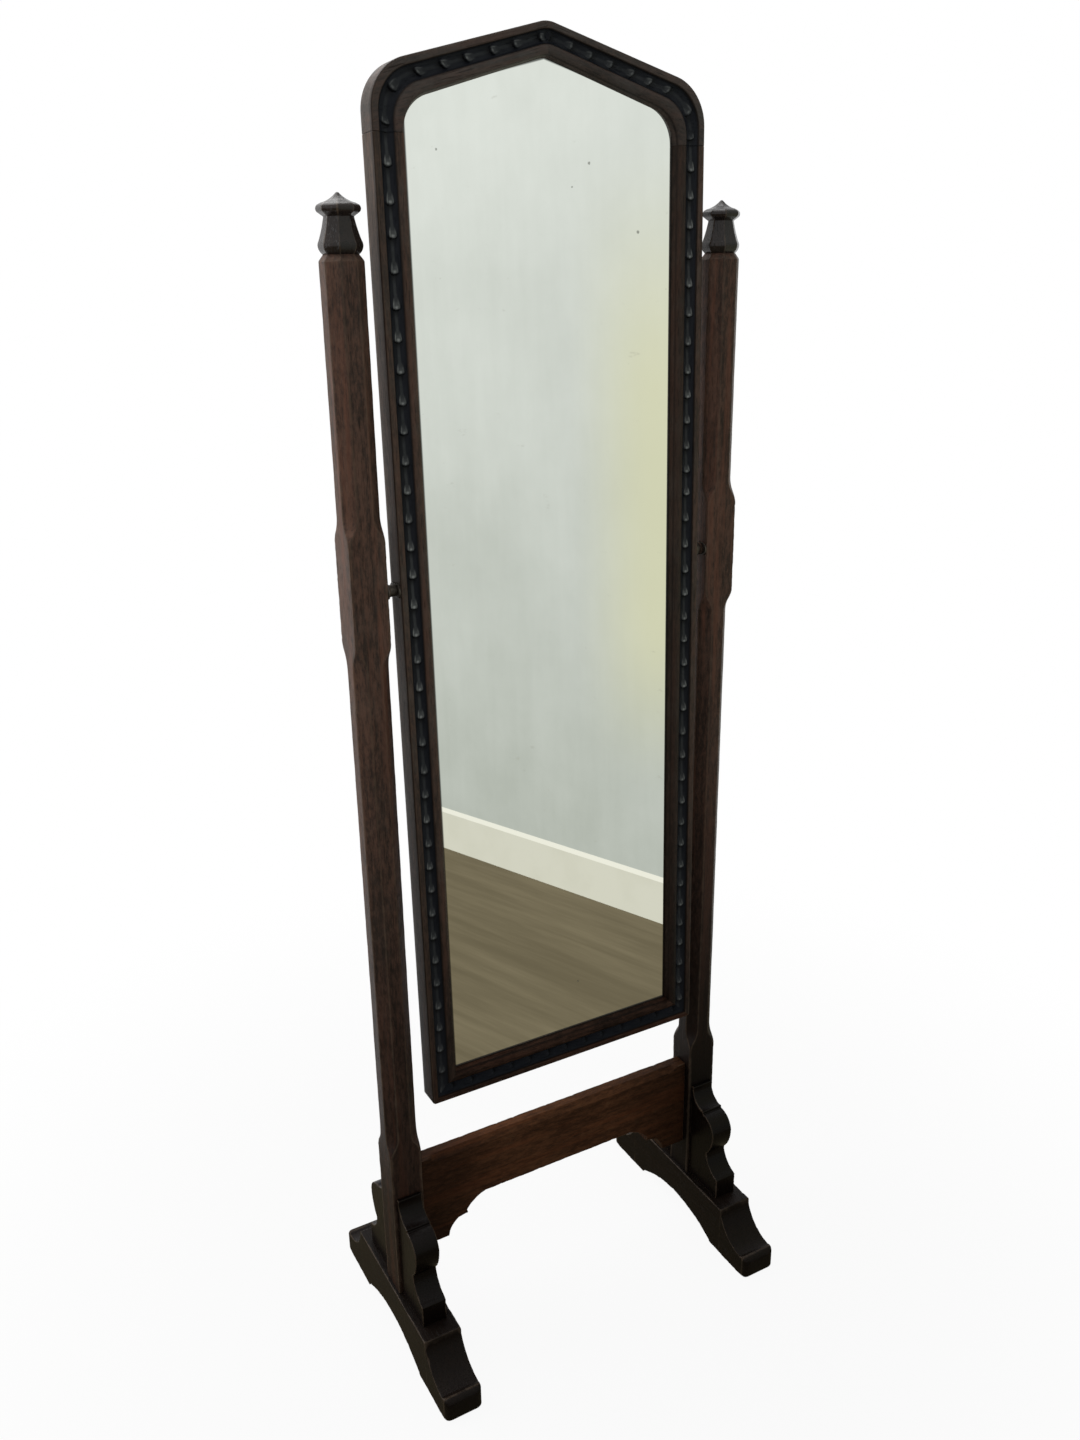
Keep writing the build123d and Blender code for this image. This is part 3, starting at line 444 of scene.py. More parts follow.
class Nodes:
    """A shader tree, emptied. One method adds any node: settings first, then what its sockets take."""

    def __init__(self, tree):
        self.tree = tree
        tree.nodes.clear()

    def put(self, socket, value):
        """Links a varying number, colour or vector to a socket, or sets a constant on it."""
        if isinstance(value, Value):
            self.tree.links.new(value.socket, socket)
        elif hasattr(socket.default_value, "__len__"):
            value = tuple(value)
            socket.default_value = value + (1.0,) * (len(socket.default_value) - len(value))
        else:
            socket.default_value = value

    def node(self, kind, settings, *inputs, output=0, at=None, **named):
        """Adds a node and returns one of its outputs. Inputs are given in order, at an index or by name."""
        made = self.tree.nodes.new(kind)
        for key, value in settings.items():
            setattr(made, key, value)
        for socket, value in zip(made.inputs, inputs):
            self.put(socket, value)
        for index, value in (at or {}).items():
            self.put(made.inputs[index], value)
        for key, value in named.items():
            self.put(made.inputs[key.replace("_", " ")], value)
        return Value(self, made.outputs[output])

    def mark(self, name):
        """One of the piece's own marks, such as its wear."""
        return self.node("ShaderNodeAttribute", {"attribute_name": name}, output="Fac")

    def axis(self, letter):
        """Object coordinate along X, Y or Z, in metres."""
        return self.node("ShaderNodeSeparateXYZ", {}, self.node("ShaderNodeTexCoord", {}, output="Object"),
                         output=letter)

    def place(self, scale=(1, 1, 1), turn=(0, 0, 0), shift=(0, 0, 0)):
        """Object coordinates, turned first, so that the stretch then follows the piece."""
        spot = self.node("ShaderNodeTexCoord", {}, output="Object")
        if any(turn):
            spot = self.node("ShaderNodeMapping", {}, spot, Rotation=turn)
        return self.node("ShaderNodeMapping", {}, spot, Location=shift, Scale=scale)

    def noise(self, spot, scale, detail=3.0, roughness=0.55, distortion=0.0):
        """Fractal noise about 0.5, finer with scale."""
        return self.node("ShaderNodeTexNoise", {}, Vector=spot, Scale=scale, Detail=detail,
                         Roughness=roughness, Distortion=distortion)

    def mixed(self, share, first, second, blend="MIX"):
        """Colour between the two, by a share from 0 to 1."""
        settings = {"data_type": "RGBA", "blend_type": blend, "clamp_factor": True}
        return self.node("ShaderNodeMix", settings, output=2, at={0: share, 6: first, 7: second})


class Finish(Nodes):
    """A procedural material on a Principled shader, whose constants are set directly."""

    def __init__(self, name, **constants):
        self.material = bpy.data.materials.new(name)
        self.material.use_nodes = True
        super().__init__(self.material.node_tree)
        self.shader = self.tree.nodes.new("ShaderNodeBsdfPrincipled")
        self.output = self.tree.nodes.new("ShaderNodeOutputMaterial")
        self.tree.links.new(self.shader.outputs[0], self.output.inputs["Surface"])
        self.set(**constants)

    def relief(self, height, depth):
        """Bump of a height that runs from 0 to 1, over the depth in metres."""
        normal = self.node("ShaderNodeBump", {}, Strength=1.0, Distance=depth, Height=height)
        self.put(self.shader.inputs["Normal"], normal)

    def set(self, **sockets):
        """Puts values on sockets of the shader, each named with _ for a space."""
        for key, value in sockets.items():
            self.put(self.shader.inputs[key.replace("_", " ")], value)


def oak(name, turn=(0, 0, 0), hollow=False, shade=0.0, low_shade=0.8, shine=0.14, bloomed=0.2, rough=0.42,
        rub=0.42, calm=0.0, ends=0.0, tint=(1.1, 0.95, 0.84)):
    """Stained oak whose grain runs along Z before the turn. Streaks, open pores, flecks and rays are noise
    drawn out along the grain, and calm evens them out. Bloomed is how much greyed wax lies on it, less so
    low down. The tint shifts its hue. Shade darkens all of it; painted shade darkens what is near the floor,
    and, as much as ends says, what is near the posts. The wear mark lightens the arrises, as much as rub
    says. The hollow mark turns the wood blue-black, with painted highlights, partly rubbed wear, on the
    tongue ends and painted shadow in the dips, and the quirk mark darkens the sunk lines, which on the
    right-hand members takes in painted shade on the inner bead."""
    c = bpy.context.scene.cheval_finishes
    f = Finish(name, Specular_IOR_Level=shine, IOR=1.45)
    along = f.place(scale=(1, 1, 0.055), turn=turn)
    cloud = f.noise(f.place(turn=turn), 9.0, 3.0, 0.6)
    streak = f.noise(along, 95.0, 5.0, 0.62, 0.35)
    fine = f.noise(along, 420.0, 3.0, 0.6)
    pores = f.noise(f.place(scale=(1, 1, 0.03), turn=turn), 1150.0, 2.0, 0.5).fade(0.60, 0.72)
    rays = f.noise(f.place(scale=(1, 1, 0.35), turn=turn, shift=(3, 1, 2)), 130.0, 2.0, 0.5).fade(0.66, 0.74)
    flecks = f.noise(f.place(scale=(1, 1, 0.3), turn=turn, shift=(9, 2, 4)), 240.0, 6.0, 0.78)
    tone = (streak * 1.1 + cloud * 0.7 + flecks * 2.1 - 1.5).fade(0.1, 0.84)
    tone = tone * (1 - calm) + 0.5 * calm
    red = f.noise(f.place(scale=(1, 1, 0.04), turn=turn, shift=(7, 1, 5)), 60.0, 4.0, 0.65).fade(0.5, 0.66)
    base = f.mixed(tone, c.oak_dark, c.oak)
    base = f.mixed(red * (0.5 - 0.5 * calm), base, c.oak_red)
    height = f.axis("Z")
    dusty = (height.fade(0.1, 0.9) * 0.8 + 0.2) * bloomed
    bloom = (f.noise(f.place(shift=(5, 2, 8)), 23.0, 4.0, 0.62) + fine * 0.35).fade(0.62, 0.95)
    base = f.mixed((bloom * 0.5 + 0.5) * dusty, base, c.oak_dust)
    base = f.mixed(rays * 0.15, base, c.oak_dust)
    base = f.mixed(pores * 0.6, base, shaded(c.oak_dark, 0.4))
    wear = f.mark("wear")
    rubbed = (wear * 0.9 + f.noise(f.place(shift=(1, 7, 3)), 60.0, 4.0, 0.7) - 0.62).fade(0.34, 0.95)
    # Painted shade: darker towards the floor, darker all over by shade, and darker near the posts by ends
    low = height.fade(1.15, 0.1) * low_shade + shade
    if ends:
        out = f.axis("X")
        low = low + out.math("ABSOLUTE").fade(0.08, 0.21) * ends
    rough = rough + cloud * 0.12 + pores * 0.12 - rubbed * 0.06
    base = f.mixed(1.0, base, tint, "MULTIPLY")
    base = f.mixed(low.clamped(), base, shaded(c.oak_dark, 0.25))
    base = f.mixed(rubbed * rub, base, c.oak_worn)
    if hollow:
        inside = f.mark("hollow")
        glint, dip, quirk = (f.mark(key) for key in ("glint", "dip", "quirk"))
        uneven = f.noise(f.place(shift=(2, 4, 6)), 240.0, 4.0, 0.65)
        stain = f.mixed((uneven.fade(0.55, 0.75) * 0.3 + fine * 0.15).clamped(), c.ebony,
                        shaded(c.ebony, 2.4))
        # Painted shadow in the dip past each tongue end
        stain = f.mixed(dip * 0.8, stain, shaded(c.ebony, 0.2))
        # Painted highlights, partly rubbed wear, on the tongues' rims and ends, weaker low down
        painted_glint = (height.fade(0.3, 1.2) * 0.72 + 0.28) * glint
        stain = f.mixed((painted_glint * (0.55 + uneven * 0.9)).clamped(), stain, c.tongue_highlight)
        # The sunk lines darkened, with painted shade on the inner bead of the right-hand members
        base = f.mixed(quirk * 0.85, base, shaded(c.oak_dark, 0.25))
        base = f.mixed(inside, base, stain)
        base = f.mixed(quirk * inside * 0.7, base, shaded(c.ebony, 0.2))
        rough = rough - inside * 0.1
    f.set(Base_Color=base, Roughness=rough.clamped())
    f.relief((streak * 0.5 + fine * 0.35 + (1 - pores) * 0.6) * (1 - rubbed * 0.4), 0.0005)
    return f.material


def plain_wood(name, light, dark, turn=(0, 0, 0), roughness=0.6):
    """Unpolished wood: bands and fibres are noise drawn out along the grain."""
    f = Finish(name, Specular_IOR_Level=0.3, IOR=1.45)
    along = f.place(scale=(1, 1, 0.05), turn=turn)
    band = f.noise(along, 38.0, 4.0, 0.6, 0.8)
    fibre = f.noise(along, 520.0, 3.0, 0.6)
    tone = (band * 1.1 + fibre * 0.5 - 0.45).fade(0.1, 0.9)
    dirt = f.noise(f.place(shift=(4, 4, 1)), 12.0, 4.0, 0.65).fade(0.52, 0.75)
    base = f.mixed(dirt * 0.4, f.mixed(tone, dark, light), shaded(dark, 0.45))
    f.set(Base_Color=base, Roughness=(roughness + fibre * 0.15).clamped())
    f.relief(fibre * 0.6 + band * 0.4, 0.0003)
    return f.material


def dull_steel(name):
    """Old steel: brown tarnish in blotches, faint drawn-out scratches."""
    c = bpy.context.scene.cheval_finishes
    f = Finish(name, Specular_IOR_Level=0.5)
    blotch = f.noise(f.place(), 260.0, 5.0, 0.65)
    scratch = f.noise(f.place(scale=(1, 0.1, 1)), 1400.0, 2.0, 0.5)
    rust = blotch.fade(0.48, 0.66)
    base = f.mixed(rust * 0.75, c.steel, srgb(38, 27, 20))
    f.set(Base_Color=base, Metallic=(0.8 - rust * 0.6).clamped(), Roughness=(0.42 + rust * 0.3).clamped())
    f.relief(scratch * 0.4 + blotch * 0.6, 0.0001)
    return f.material


def dark_leather(name):
    """Oiled leather: pebbled grain from cell edges."""
    f = Finish(name, Specular_IOR_Level=0.35)
    cells = f.node("ShaderNodeTexVoronoi", {"feature": "DISTANCE_TO_EDGE"}, Vector=f.place(), Scale=1300.0)
    tone = f.noise(f.place(), 500.0, 3.0, 0.6)
    base = f.mixed(tone, srgb(38, 26, 19), srgb(84, 58, 40))
    f.set(Base_Color=base, Roughness=(0.55 + tone * 0.2).clamped())
    f.relief(cells.fade(0.0, 0.12), 0.0002)
    return f.material


def old_silvering(name):
    """Silvered plate: nearly perfect mirror, darker in a thin line along the sight edge, partly where the
    glass itself shows through the worn silvering and partly as painted shadow and reflection of the frame's
    lip, with foxing near the edges and a few specks in the field. The distance to the sight edge is the
    largest of the distances past the two sides, the bottom and the two slopes."""
    c = bpy.context.scene.cheval_finishes
    s = bpy.context.scene.cheval_frame
    f = Finish(name, Metallic=1.0)
    x, z = f.axis("X"), f.axis("Z")
    sight = LIP / 1000
    side = x.math("ABSOLUTE")
    peak = s.bottom + s.height - HEAD_TAPER * sight / math.cos(s.slope)
    flat = side - (s.width / 2 - sight)
    low = (s.bottom + sight) - z
    high = (z - peak) * math.cos(s.slope) + side * math.sin(s.slope)
    past = flat.math("MAXIMUM", low).math("SMOOTH_MAX", high, 0.012)
    # thin dark line at the sight edge: worn silvering, and painted shadow and reflection of the frame's lip
    line = past.fade(-0.0030, -0.0012)
    broad = past.fade(-0.020, -0.001)
    fox = f.noise(f.place(shift=(3, 3, 3)), 120.0, 6.0, 0.7)
    spots = (fox + broad * 0.07).fade(0.74, 0.80) * 0.5
    for px, pz, radius in SPECKS:
        apart = ((x - px) * (x - px) + (z - pz) * (z - pz)).math("SQRT")
        uneven = apart + (f.noise(f.place(shift=(px, pz, 1)), 700.0, 2.0) - 0.5) * 0.002
        spots = spots.math("MAXIMUM", uneven.fade(radius, radius * 0.4) * 0.75)
    base = f.mixed(spots * 0.8, c.silver, srgb(58, 54, 46))
    base = f.mixed(line * 0.85, base, srgb(26, 26, 22))
    f.set(Base_Color=base, Roughness=(0.012 + spots * 0.35).clamped())
    return f.material


def finish_for(key):
    """Each finish is made once, the first time that a piece asks for it."""
    made = bpy.data.materials.get(key)
    if made:
        return made
    quarter = math.pi / 2
    slope = bpy.context.scene.cheval_frame.slope
    head = dict(hollow=True, shade=0.25, shine=0.12, bloomed=0.8, rub=0.25, tint=(1.1, 1.18, 1.26))
    oaks = {
        "oak_upright": dict(bloomed=0.35, rub=0.35, tint=(1.18, 1.04, 0.96)),
        # The right post: a copy of the upright oak with painted shade, darker all over and near the floor
        "oak_upright_painted_shade": dict(shade=0.06, low_shade=1.0, bloomed=0.3, rub=0.3, tint=(1.12, 0.98, 0.9)),
        "oak_bracket": dict(shade=0.35, shine=0.12, bloomed=0.8, rough=0.24, rub=0.36),
        # The finial's rub lightens its arrises as wear and as painted highlights
        "oak_finial": dict(shade=0.78, shine=0.34, bloomed=0.5, rough=0.15, rub=0.7, tint=(0.92, 1.0, 1.08)),
        "oak_front_to_back": dict(turn=(quarter, 0, 0), shade=0.16, shine=0.1, bloomed=3.0, rough=0.34,
                                  rub=0.34, tint=(0.95, 0.98, 0.9)),
        # The rail: painted shade near the posts, as much as ends says
        "oak_across": dict(turn=(0, quarter, 0), low_shade=0.2, shine=0.05, bloomed=0.0, rub=0.3, calm=0.45,
                           ends=0.45, tint=(1.3, 0.98, 0.6)),
        "oak_stile": dict(hollow=True, shade=0.12, low_shade=0.75, shine=0.12, bloomed=0.7, rub=0.3,
                          tint=(1.06, 0.98, 0.92)),
        "oak_bottom_rail": dict(turn=(0, quarter, 0), hollow=True, shine=0.06, rub=0.3),
        "oak_left_slope": dict(turn=(0, slope - quarter, 0), **head),
        "oak_right_slope": dict(turn=(0, quarter - slope, 0), **head),
    }
    if key in oaks:
        return oak(key, **oaks[key])
    makers = {
        "stained_ply": lambda: plain_wood(key, srgb(128, 92, 62), srgb(84, 56, 36), roughness=0.55),
        "bare_softwood": lambda: plain_wood(key, srgb(198, 164, 118), srgb(160, 122, 80)),
        "beech": lambda: plain_wood(key, srgb(204, 172, 134), srgb(174, 136, 98), (quarter, 0, 0)),
        "dull_steel": lambda: dull_steel(key),
        "dark_leather": lambda: dark_leather(key),
        "old_silvering": lambda: old_silvering(key),
    }
    return makers[key]()


def dress(key, *names):
    """Gives CAD nodes a finish. Their meshes stay as they are."""
    for name in names:
        mesh = NODES[name].data
        mesh.materials.clear()
        mesh.materials.append(finish_for(key))


# posts and finials

def post_rings(s):
    """Half widths and corner distances of a post at each height. The corner cut starts at the full
    corner, and each stop brings it in to the octagon by two equal arcs, one each way."""
    half = mm(s.post_size) / 2
    full = half * math.sqrt(2)
    stop = mm(s.stop_length)
    pivot = mm(PIVOT[2])
    low = mm(s.lower_block)
    block = mm(s.pivot_block) / 2
    foot, top = mm(s.foot_height), mm(s.post_top)
    z = np.unique(np.round(np.r_[
        np.arange(foot, top, 4.0), np.arange(low, low + stop, 1.2),
        np.arange(pivot - block - stop, pivot - block + 1, 1.2),
        np.arange(pivot + block, pivot + block + stop, 1.2),
        top - 2.0, top - 0.8,
    ], 3))
    past = np.minimum.reduce([
        np.where(z < pivot, z - low, 1e3), np.where(z < pivot, pivot - block - z, 1e3),
        np.where(z > pivot, z - pivot - block, 1e3),
    ]).clip(0, stop)
    rise = (full - half) / 2
    radius = (rise ** 2 + (stop / 2) ** 2) / (2 * rise)
    into = np.minimum(past, stop - past)
    drop = radius - np.sqrt(radius ** 2 - into ** 2)
    corner = np.where(past < stop / 2, full - drop, half + drop)
    return z, np.full_like(z, half), corner


def standing(flat, z, side):
    """Level rings at their heights, moved out to a post's axis."""
    out = side * mm(bpy.context.scene.cheval_stand.post_centre)
    return np.dstack([flat[..., 0] + out, flat[..., 1], np.broadcast_to(z[:, None], flat.shape[:2])])


def make_post(side):
    """One post: rings up the stock, the arris radius wavering by height and edge, then the bevelled
    shoulder and the seat of the finial."""
    s = bpy.context.scene.cheval_stand
    z, half, corner = post_rings(s)
    seed = 20 if side < 0 else 40
    arris = mm(s.arris)
    edges = np.stack([
        arris * (1 + 0.5 * waver(z, seed + k))
        + 2.2 * arris * np.maximum(0, waver(z, seed + 9 + k, longest=60) - 0.66)
        for k in range(8)
    ], -1)
    planed = 0.12 * (1 + waver(z, seed + 30, longest=400, shortest=30))
    half, corner = half - planed, corner - planed
    seat, bevel = mm(s.finial_seat) / 2, mm(s.post_bevel)
    z = np.r_[z, mm(s.post_top) + np.array([0.0, 0.7, bevel - 0.6, bevel, bevel])]
    full = half[-1]
    slope = (full - seat) / bevel
    half = np.r_[half, full - 0.25, full - 0.7 * slope, seat + 0.6 * slope, seat, seat - 1]
    corner = np.r_[corner, half[-5:]]
    edges = np.vstack([edges, np.repeat(edges[-1:] * 0.8, 5, 0)])
    flat, wear = eight_sided(half, corner, edges)
    rings = standing(flat, z, side)
    wear = np.broadcast_to(wear, rings.shape[:2]).copy()
    wear[-5:-3] = 1
    return skin(sided(side, "chamfered_post"), rings, wear=wear)


def finial_outline(s):
    """Half width and height of a finial's faces: waist, bulb, long waist, neck, rim and peaked cap. The
    half widths a, b, n and c are those of the seat, bulb, neck and cap; zb, zn, zc and zt are the heights
    of the bulb, the neck, the cap's rim and the tip."""
    a, b, n, c = (mm(size) / 2 for size in (s.finial_seat, s.finial_bulb, s.finial_neck, s.finial_cap))
    zt = mm(s.finial_height)
    zb, zn, zc = 8.5, zt - 23.3, zt - 15.3
    return chain(
        (a - 1.5, 0), (a, 0), arc((a, 0), ((a + b) / 2 + 0.7, zb / 2 - 0.8), (b, zb), 5),
        bend((b, zb), (b - 1.3, zb + 5), (0, 1), 4),
        arc((b - 1.3, zb + 5), ((b - 1.3 + n) / 2 - 0.5, (zb + 5 + zn) / 2), (n, zn), 9),
        (n, zn), (n + (c - 1.2 - n) * 0.5, (zn + zc - 3.6) / 2),
        arc((c - 1.2, zc - 3.6), (c, zc - 0.6), (c - 1.8, zc + 3.4), 5),
        (c - 4.9, zc + 5.2), arc((c - 4.9, zc + 5.2), (8.4, zc + 8.8), (1.6, zt - 0.6), 9), (0.6, zt - 0.1),
    )


def make_finial(side):
    """One finial: its outline is turned into eight flat faces, ring by ring up the height."""
    s = bpy.context.scene.cheval_stand
    outline = finial_outline(s)
    ahead = np.diff(outline, axis=0)
    count = np.maximum(1, np.ceil(np.hypot(*ahead.T) / 1.2)).astype(int)
    start = np.repeat(np.arange(len(count)), count)
    share = (np.arange(count.sum()) - np.repeat(np.cumsum(count) - count, count)) / np.repeat(count, count)
    line = np.vstack([outline[start] + ahead[start] * share[:, None], outline[-1:]])
    half, height = line.T
    seed = 60 if side < 0 else 80
    uneven = np.stack([waver(height, seed + k, longest=40) for k in range(8)], -1)
    radius = np.minimum(0.9, half[:, None] * 0.12) * (1 + 0.5 * uneven)
    flat, wear = eight_sided(half, half, radius)
    z = height + mm(s.post_top) + mm(s.post_bevel)
    rings = standing(flat, z, side)
    tangent = np.gradient(line, axis=0)
    bent = np.abs(np.gradient(np.unwrap(np.arctan2(tangent[:, 1], tangent[:, 0]))))
    # The bends of the outline lightened, as wear and as painted highlights
    edge = np.clip(bent * 1.6, 0, 1)[:, None] * (half > 15)[:, None]
    return skin(sided(side, "faceted_finial"), rings, wear=np.maximum(wear * 0.8, edge))


# feet, brackets and rail

def foot_lines(s):
    """Top and bottom of the front half of a foot, y and z: raised flat, short step, scooped ramp and
    lipped toe above; arch, pad and rounded toe below. Flat, lip and pad are where the raised flat ends,
    the toe's lip begins and the pad begins; low is the foot of the step."""
    half, height = mm(s.foot_length) / 2, mm(s.foot_height)
    flat, low, toe, pad, lip = mm(s.foot_flat), height - 8, mm(s.toe_height), half - 89, half - 14
    scoop = (flat + (lip - flat) * 0.33, toe + (low - toe) * 0.36)
    top = chain((0, height), (flat - 1, height), (flat - 0.4, height - 0.4), (flat, height - 1.2),
                (flat + 0.3, low), arc((flat + 0.3, low), scoop, (lip, toe), 16),
                arc((lip, toe), (half - 6, toe + 1.1), (half, 27), 8))
    under = chain(arc((-pad, 2), (0, 27), (pad, 2), 48), (pad + 0.3, 0), (half - 5, 0),
                  bend((half - 5, 0), (half, 5), (1, 0), 6))
    return top, under[under[:, 0] >= 0]


def make_foot(side):
    """One foot: rounded rectangles from back to front, between the top line and the line beneath, their
    half width drawn in over the last 9 mm by a quarter circle."""
    s = bpy.context.scene.cheval_stand
    top, under = foot_lines(s)
    half, width, bow = mm(s.foot_length) / 2, mm(s.foot_width) / 2, 9.0
    end = half - bow * (1 - np.sin(np.linspace(0, math.pi / 2, 7)))
    y = np.unique(np.round(np.r_[np.arange(0, half, 3.0), top[:, 0], under[:, 0], end, half - 0.02], 3))
    y = y[(y >= 0) & (y <= half)]
    y = np.r_[-y[:0:-1], y]
    away = np.abs(y)
    high = np.interp(away, *top.T)
    low = np.interp(away, *under.T)
    wide = width - bow + np.sqrt(bow ** 2 - np.clip(away - (half - bow), 0, bow) ** 2)
    seed = 100 if side < 0 else 120
    corners = []
    for k, (sx, sz) in enumerate(((1, 1), (-1, 1), (-1, -1), (1, -1))):
        radius = mm(s.arris) * (1.1 + 0.6 * waver(y, seed + k))
        radius += 3 * np.maximum(0, waver(y, seed + 7 + k, longest=50) - 0.6)
        radius = (radius + 3.5 * np.clip((away - half + 16) / 16, 0, 1))[:, None]
        turn = math.pi / 2 * (k + np.linspace(0, 1, 5))
        edge = (wide[:, None] - radius) * sx + radius * np.cos(turn)
        level = np.where(sz > 0, high[:, None] - radius, low[:, None] + radius) + radius * np.sin(turn)
        corners.append(np.dstack([edge, level]))
    ring = []
    for here, ahead in zip(corners, corners[1:] + corners[:1]):
        share = np.array([0.06, 0.36, 0.64, 0.94])[None, :, None]
        ring += [here, here[:, -1:] * (1 - share) + ahead[:, :1] * share]
    ring = np.concatenate(ring, 1)
    depth = np.broadcast_to(y[:, None], ring.shape[:2])
    rings = np.dstack([ring[..., 0] + side * mm(s.post_centre), depth, ring[..., 1]])
    edges = np.tile([0.4, 1, 1, 1, 0.4, 0.1, 0, 0, 0.1], 4)[None]
    lip = 0.9 * np.exp(-((away - half + 8.5) / 3) ** 2)
    step = 0.8 * np.exp(-((away - mm(s.foot_flat) + 0.5) / 1.2) ** 2)
    wear = edges * np.clip((half - 6 - away) / 8, 0, 1)[:, None] + lip[:, None] + step[:, None]
    return skin(sided(side, "sledge_foot"), rings, wear=np.clip(wear, 0, 1))


def bracket_outline(s):
    """Side of a front bracket, y and z: fillet, cove, fillet, bulge, quirk, hollow, lip and base."""
    face, base = -mm(s.post_size) / 2, mm(s.foot_height)
    top, lip, reach = base + mm(s.bracket_height), base + 33, mm(s.bracket_reach)
    cove_in, cove_out = (face - 4.5, top - 6), (face - 27, top - 28.5)
    bulge_top, bulge = (face - 33, top - 32.5), (face - 57, top - 56)
    quirk = (face - 42, lip + 29.5)
    turned = (quirk[0], quirk[1] + 2)
    return chain(
        (face, top), (face - 5.5, top), (face - 5.5, top - 4), (face - 4.5, top - 4),
        arc(cove_in, (cove_in[0] - 7, cove_out[1] + 7.2), cove_out, 10),
        (cove_out[0] - 3.5, cove_out[1]), (cove_out[0] - 3.5, bulge_top[1]),
        bend(bulge_top, bulge, (-1, -0.12), 12),
        arc(bulge, (bulge[0] + 2.6, bulge[1] - 18), turned, 8), quirk,
        arc(quirk, (quirk[0] - 8.71, lip + 10.5), (face - reach + 3.5, lip + 0.5), 12),
        (face - reach, lip - 1.5), (face - reach, base), (face, base),
    )


def make_bracket(side, end):
    """One bracket: the outline carried across its width; end is -1 in front and 1 behind the post."""
    s = bpy.context.scene.cheval_stand
    outline = refined(eased(bracket_outline(s), 1.3), 1.6)
    seed = 140 + 7 * side + 3 * end
    rings, across, wear = boarded(outline, mm(s.bracket_width) / 2, mm(s.arris) * 0.75, seed)
    rings = np.dstack([across + side * mm(s.post_centre), rings[..., 0] * -end, rings[..., 1]])
    name = sided(side, ("front" if end < 0 else "rear") + "_scrolled_bracket")
    return skin(name, rings, wear=wear)


def rail_outline(s):
    """Front of the rail, x and z: straight below in the middle, two coves with a nib between at each end."""
    end = mm(s.post_centre) - mm(s.post_size) / 2
    top = mm(s.rail_top)
    middle, low = top - mm(s.rail_middle), top - mm(s.rail_end)
    tail, tip, cove_end = end - 40, end - 70, end - 99.5
    rise = (middle - low) / 2
    k = math.sin(math.pi / 4)
    nib = (tip + 1.0, low + rise + 5.0)
    right = chain((end, top), (end, low), (tail, low),
                  arc((tail, low), (tip + (tail - tip) * k, low + rise * k), (tip, low + rise), 10),
                  (tip - 0.5, low + rise + 2.0), nib,
                  arc(nib, (cove_end + (nib[0] - cove_end) * 0.64, middle - rise * 0.36),
                      (cove_end, middle), 10))
    return chain(right, right[::-1] * (-1, 1))


def make_rail():
    """The stretcher rail: the outline carried through its thickness, its upper front edge planed down to
    a 45 degree chamfer that runs out before each post."""
    s = bpy.context.scene.cheval_stand
    half, top, cut = mm(s.rail_thickness) / 2, mm(s.rail_top), 8.0
    outline = refined(eased(rail_outline(s), 1.3), 3.0)
    rings, across, wear = boarded(outline, half, mm(s.arris) * 0.7, 170)
    end = mm(s.post_centre) - mm(s.post_size) / 2
    x, z = rings[..., 0], rings[..., 1]
    out = np.clip((np.abs(x) - (end - 14 - cut * 1.2)) / 1.2, 0, cut + 2)
    depth = across + half
    limit = top + np.minimum(0, depth - cut) + out
    lowered = np.minimum(z, limit)
    wear = np.maximum(wear * (lowered == z), 0.25 * (lowered < z))
    rings = np.dstack([x, across, lowered])
    return skin("scrolled_rail", rings, wear=wear)


# mirror frame

def moulding(thickness):
    """Section across the frame: inward from the outer edge, and back from the face. Returns the points
    and their wear, hollow and quirk marks."""
    first, second = BEAD, BEAD + HOLLOW
    side = np.column_stack([np.zeros(8), np.r_[thickness - 1.2, 24, 18, 12, 7, 4, 3, 2.4]])
    parts = [
        (side, 0.0, 0), (bend((0, DROP), (DROP, 0), (0, -1), 4), 1.0, 0),
        (np.column_stack([np.linspace(2.6, 6.0, 4), np.zeros(4)]), 0.1, 0),
        (bend((BEAD - DROP, 0), (BEAD, DROP), (1, 0), 4), 0.7, 0),
        (arc((first, DROP), (first + HOLLOW / 2, DROP + DEPTH), (second, DROP), 22)[1:-1], 0, 1),
        (arc((second, DROP), (second + INNER * 0.45, 0), (SIGHT, DROP), 9), 0.35, 0),
        (np.column_stack([np.linspace(SIGHT, LIP, 5)[1:], np.linspace(DROP, LIP_DEPTH, 5)[1:]]), 0.1, 0),
        (np.array([(REBATE + 4, LIP_DEPTH), (REBATE, LIP_DEPTH), (REBATE, GLASS_DEPTH), (LEDGE, GLASS_DEPTH),
                   (LEDGE, thickness - 1), (LEDGE - 1, thickness), (LEDGE - 2, thickness), (10, thickness),
                   (2, thickness), (1, thickness)]), 0.1, 0),
    ]
    points = np.vstack([p for p, *_ in parts])
    wear, hollow = (np.concatenate([np.full(len(part[0]), float(part[k])) for part in parts]) for k in (1, 2))
    quirk = np.zeros(len(points))
    inside, back = points.T
    front = (back < DROP + DEPTH + 1) & (inside < SIGHT + 1)
    for edge, reach in ((first, 1.3), (second, 1.5), (0.5, 1.2), (SIGHT + 0.8, 1.2)):
        quirk = np.maximum(quirk, np.clip(1 - np.abs(inside - edge) / reach, 0, 1) * front)
    return points, wear, hollow, quirk


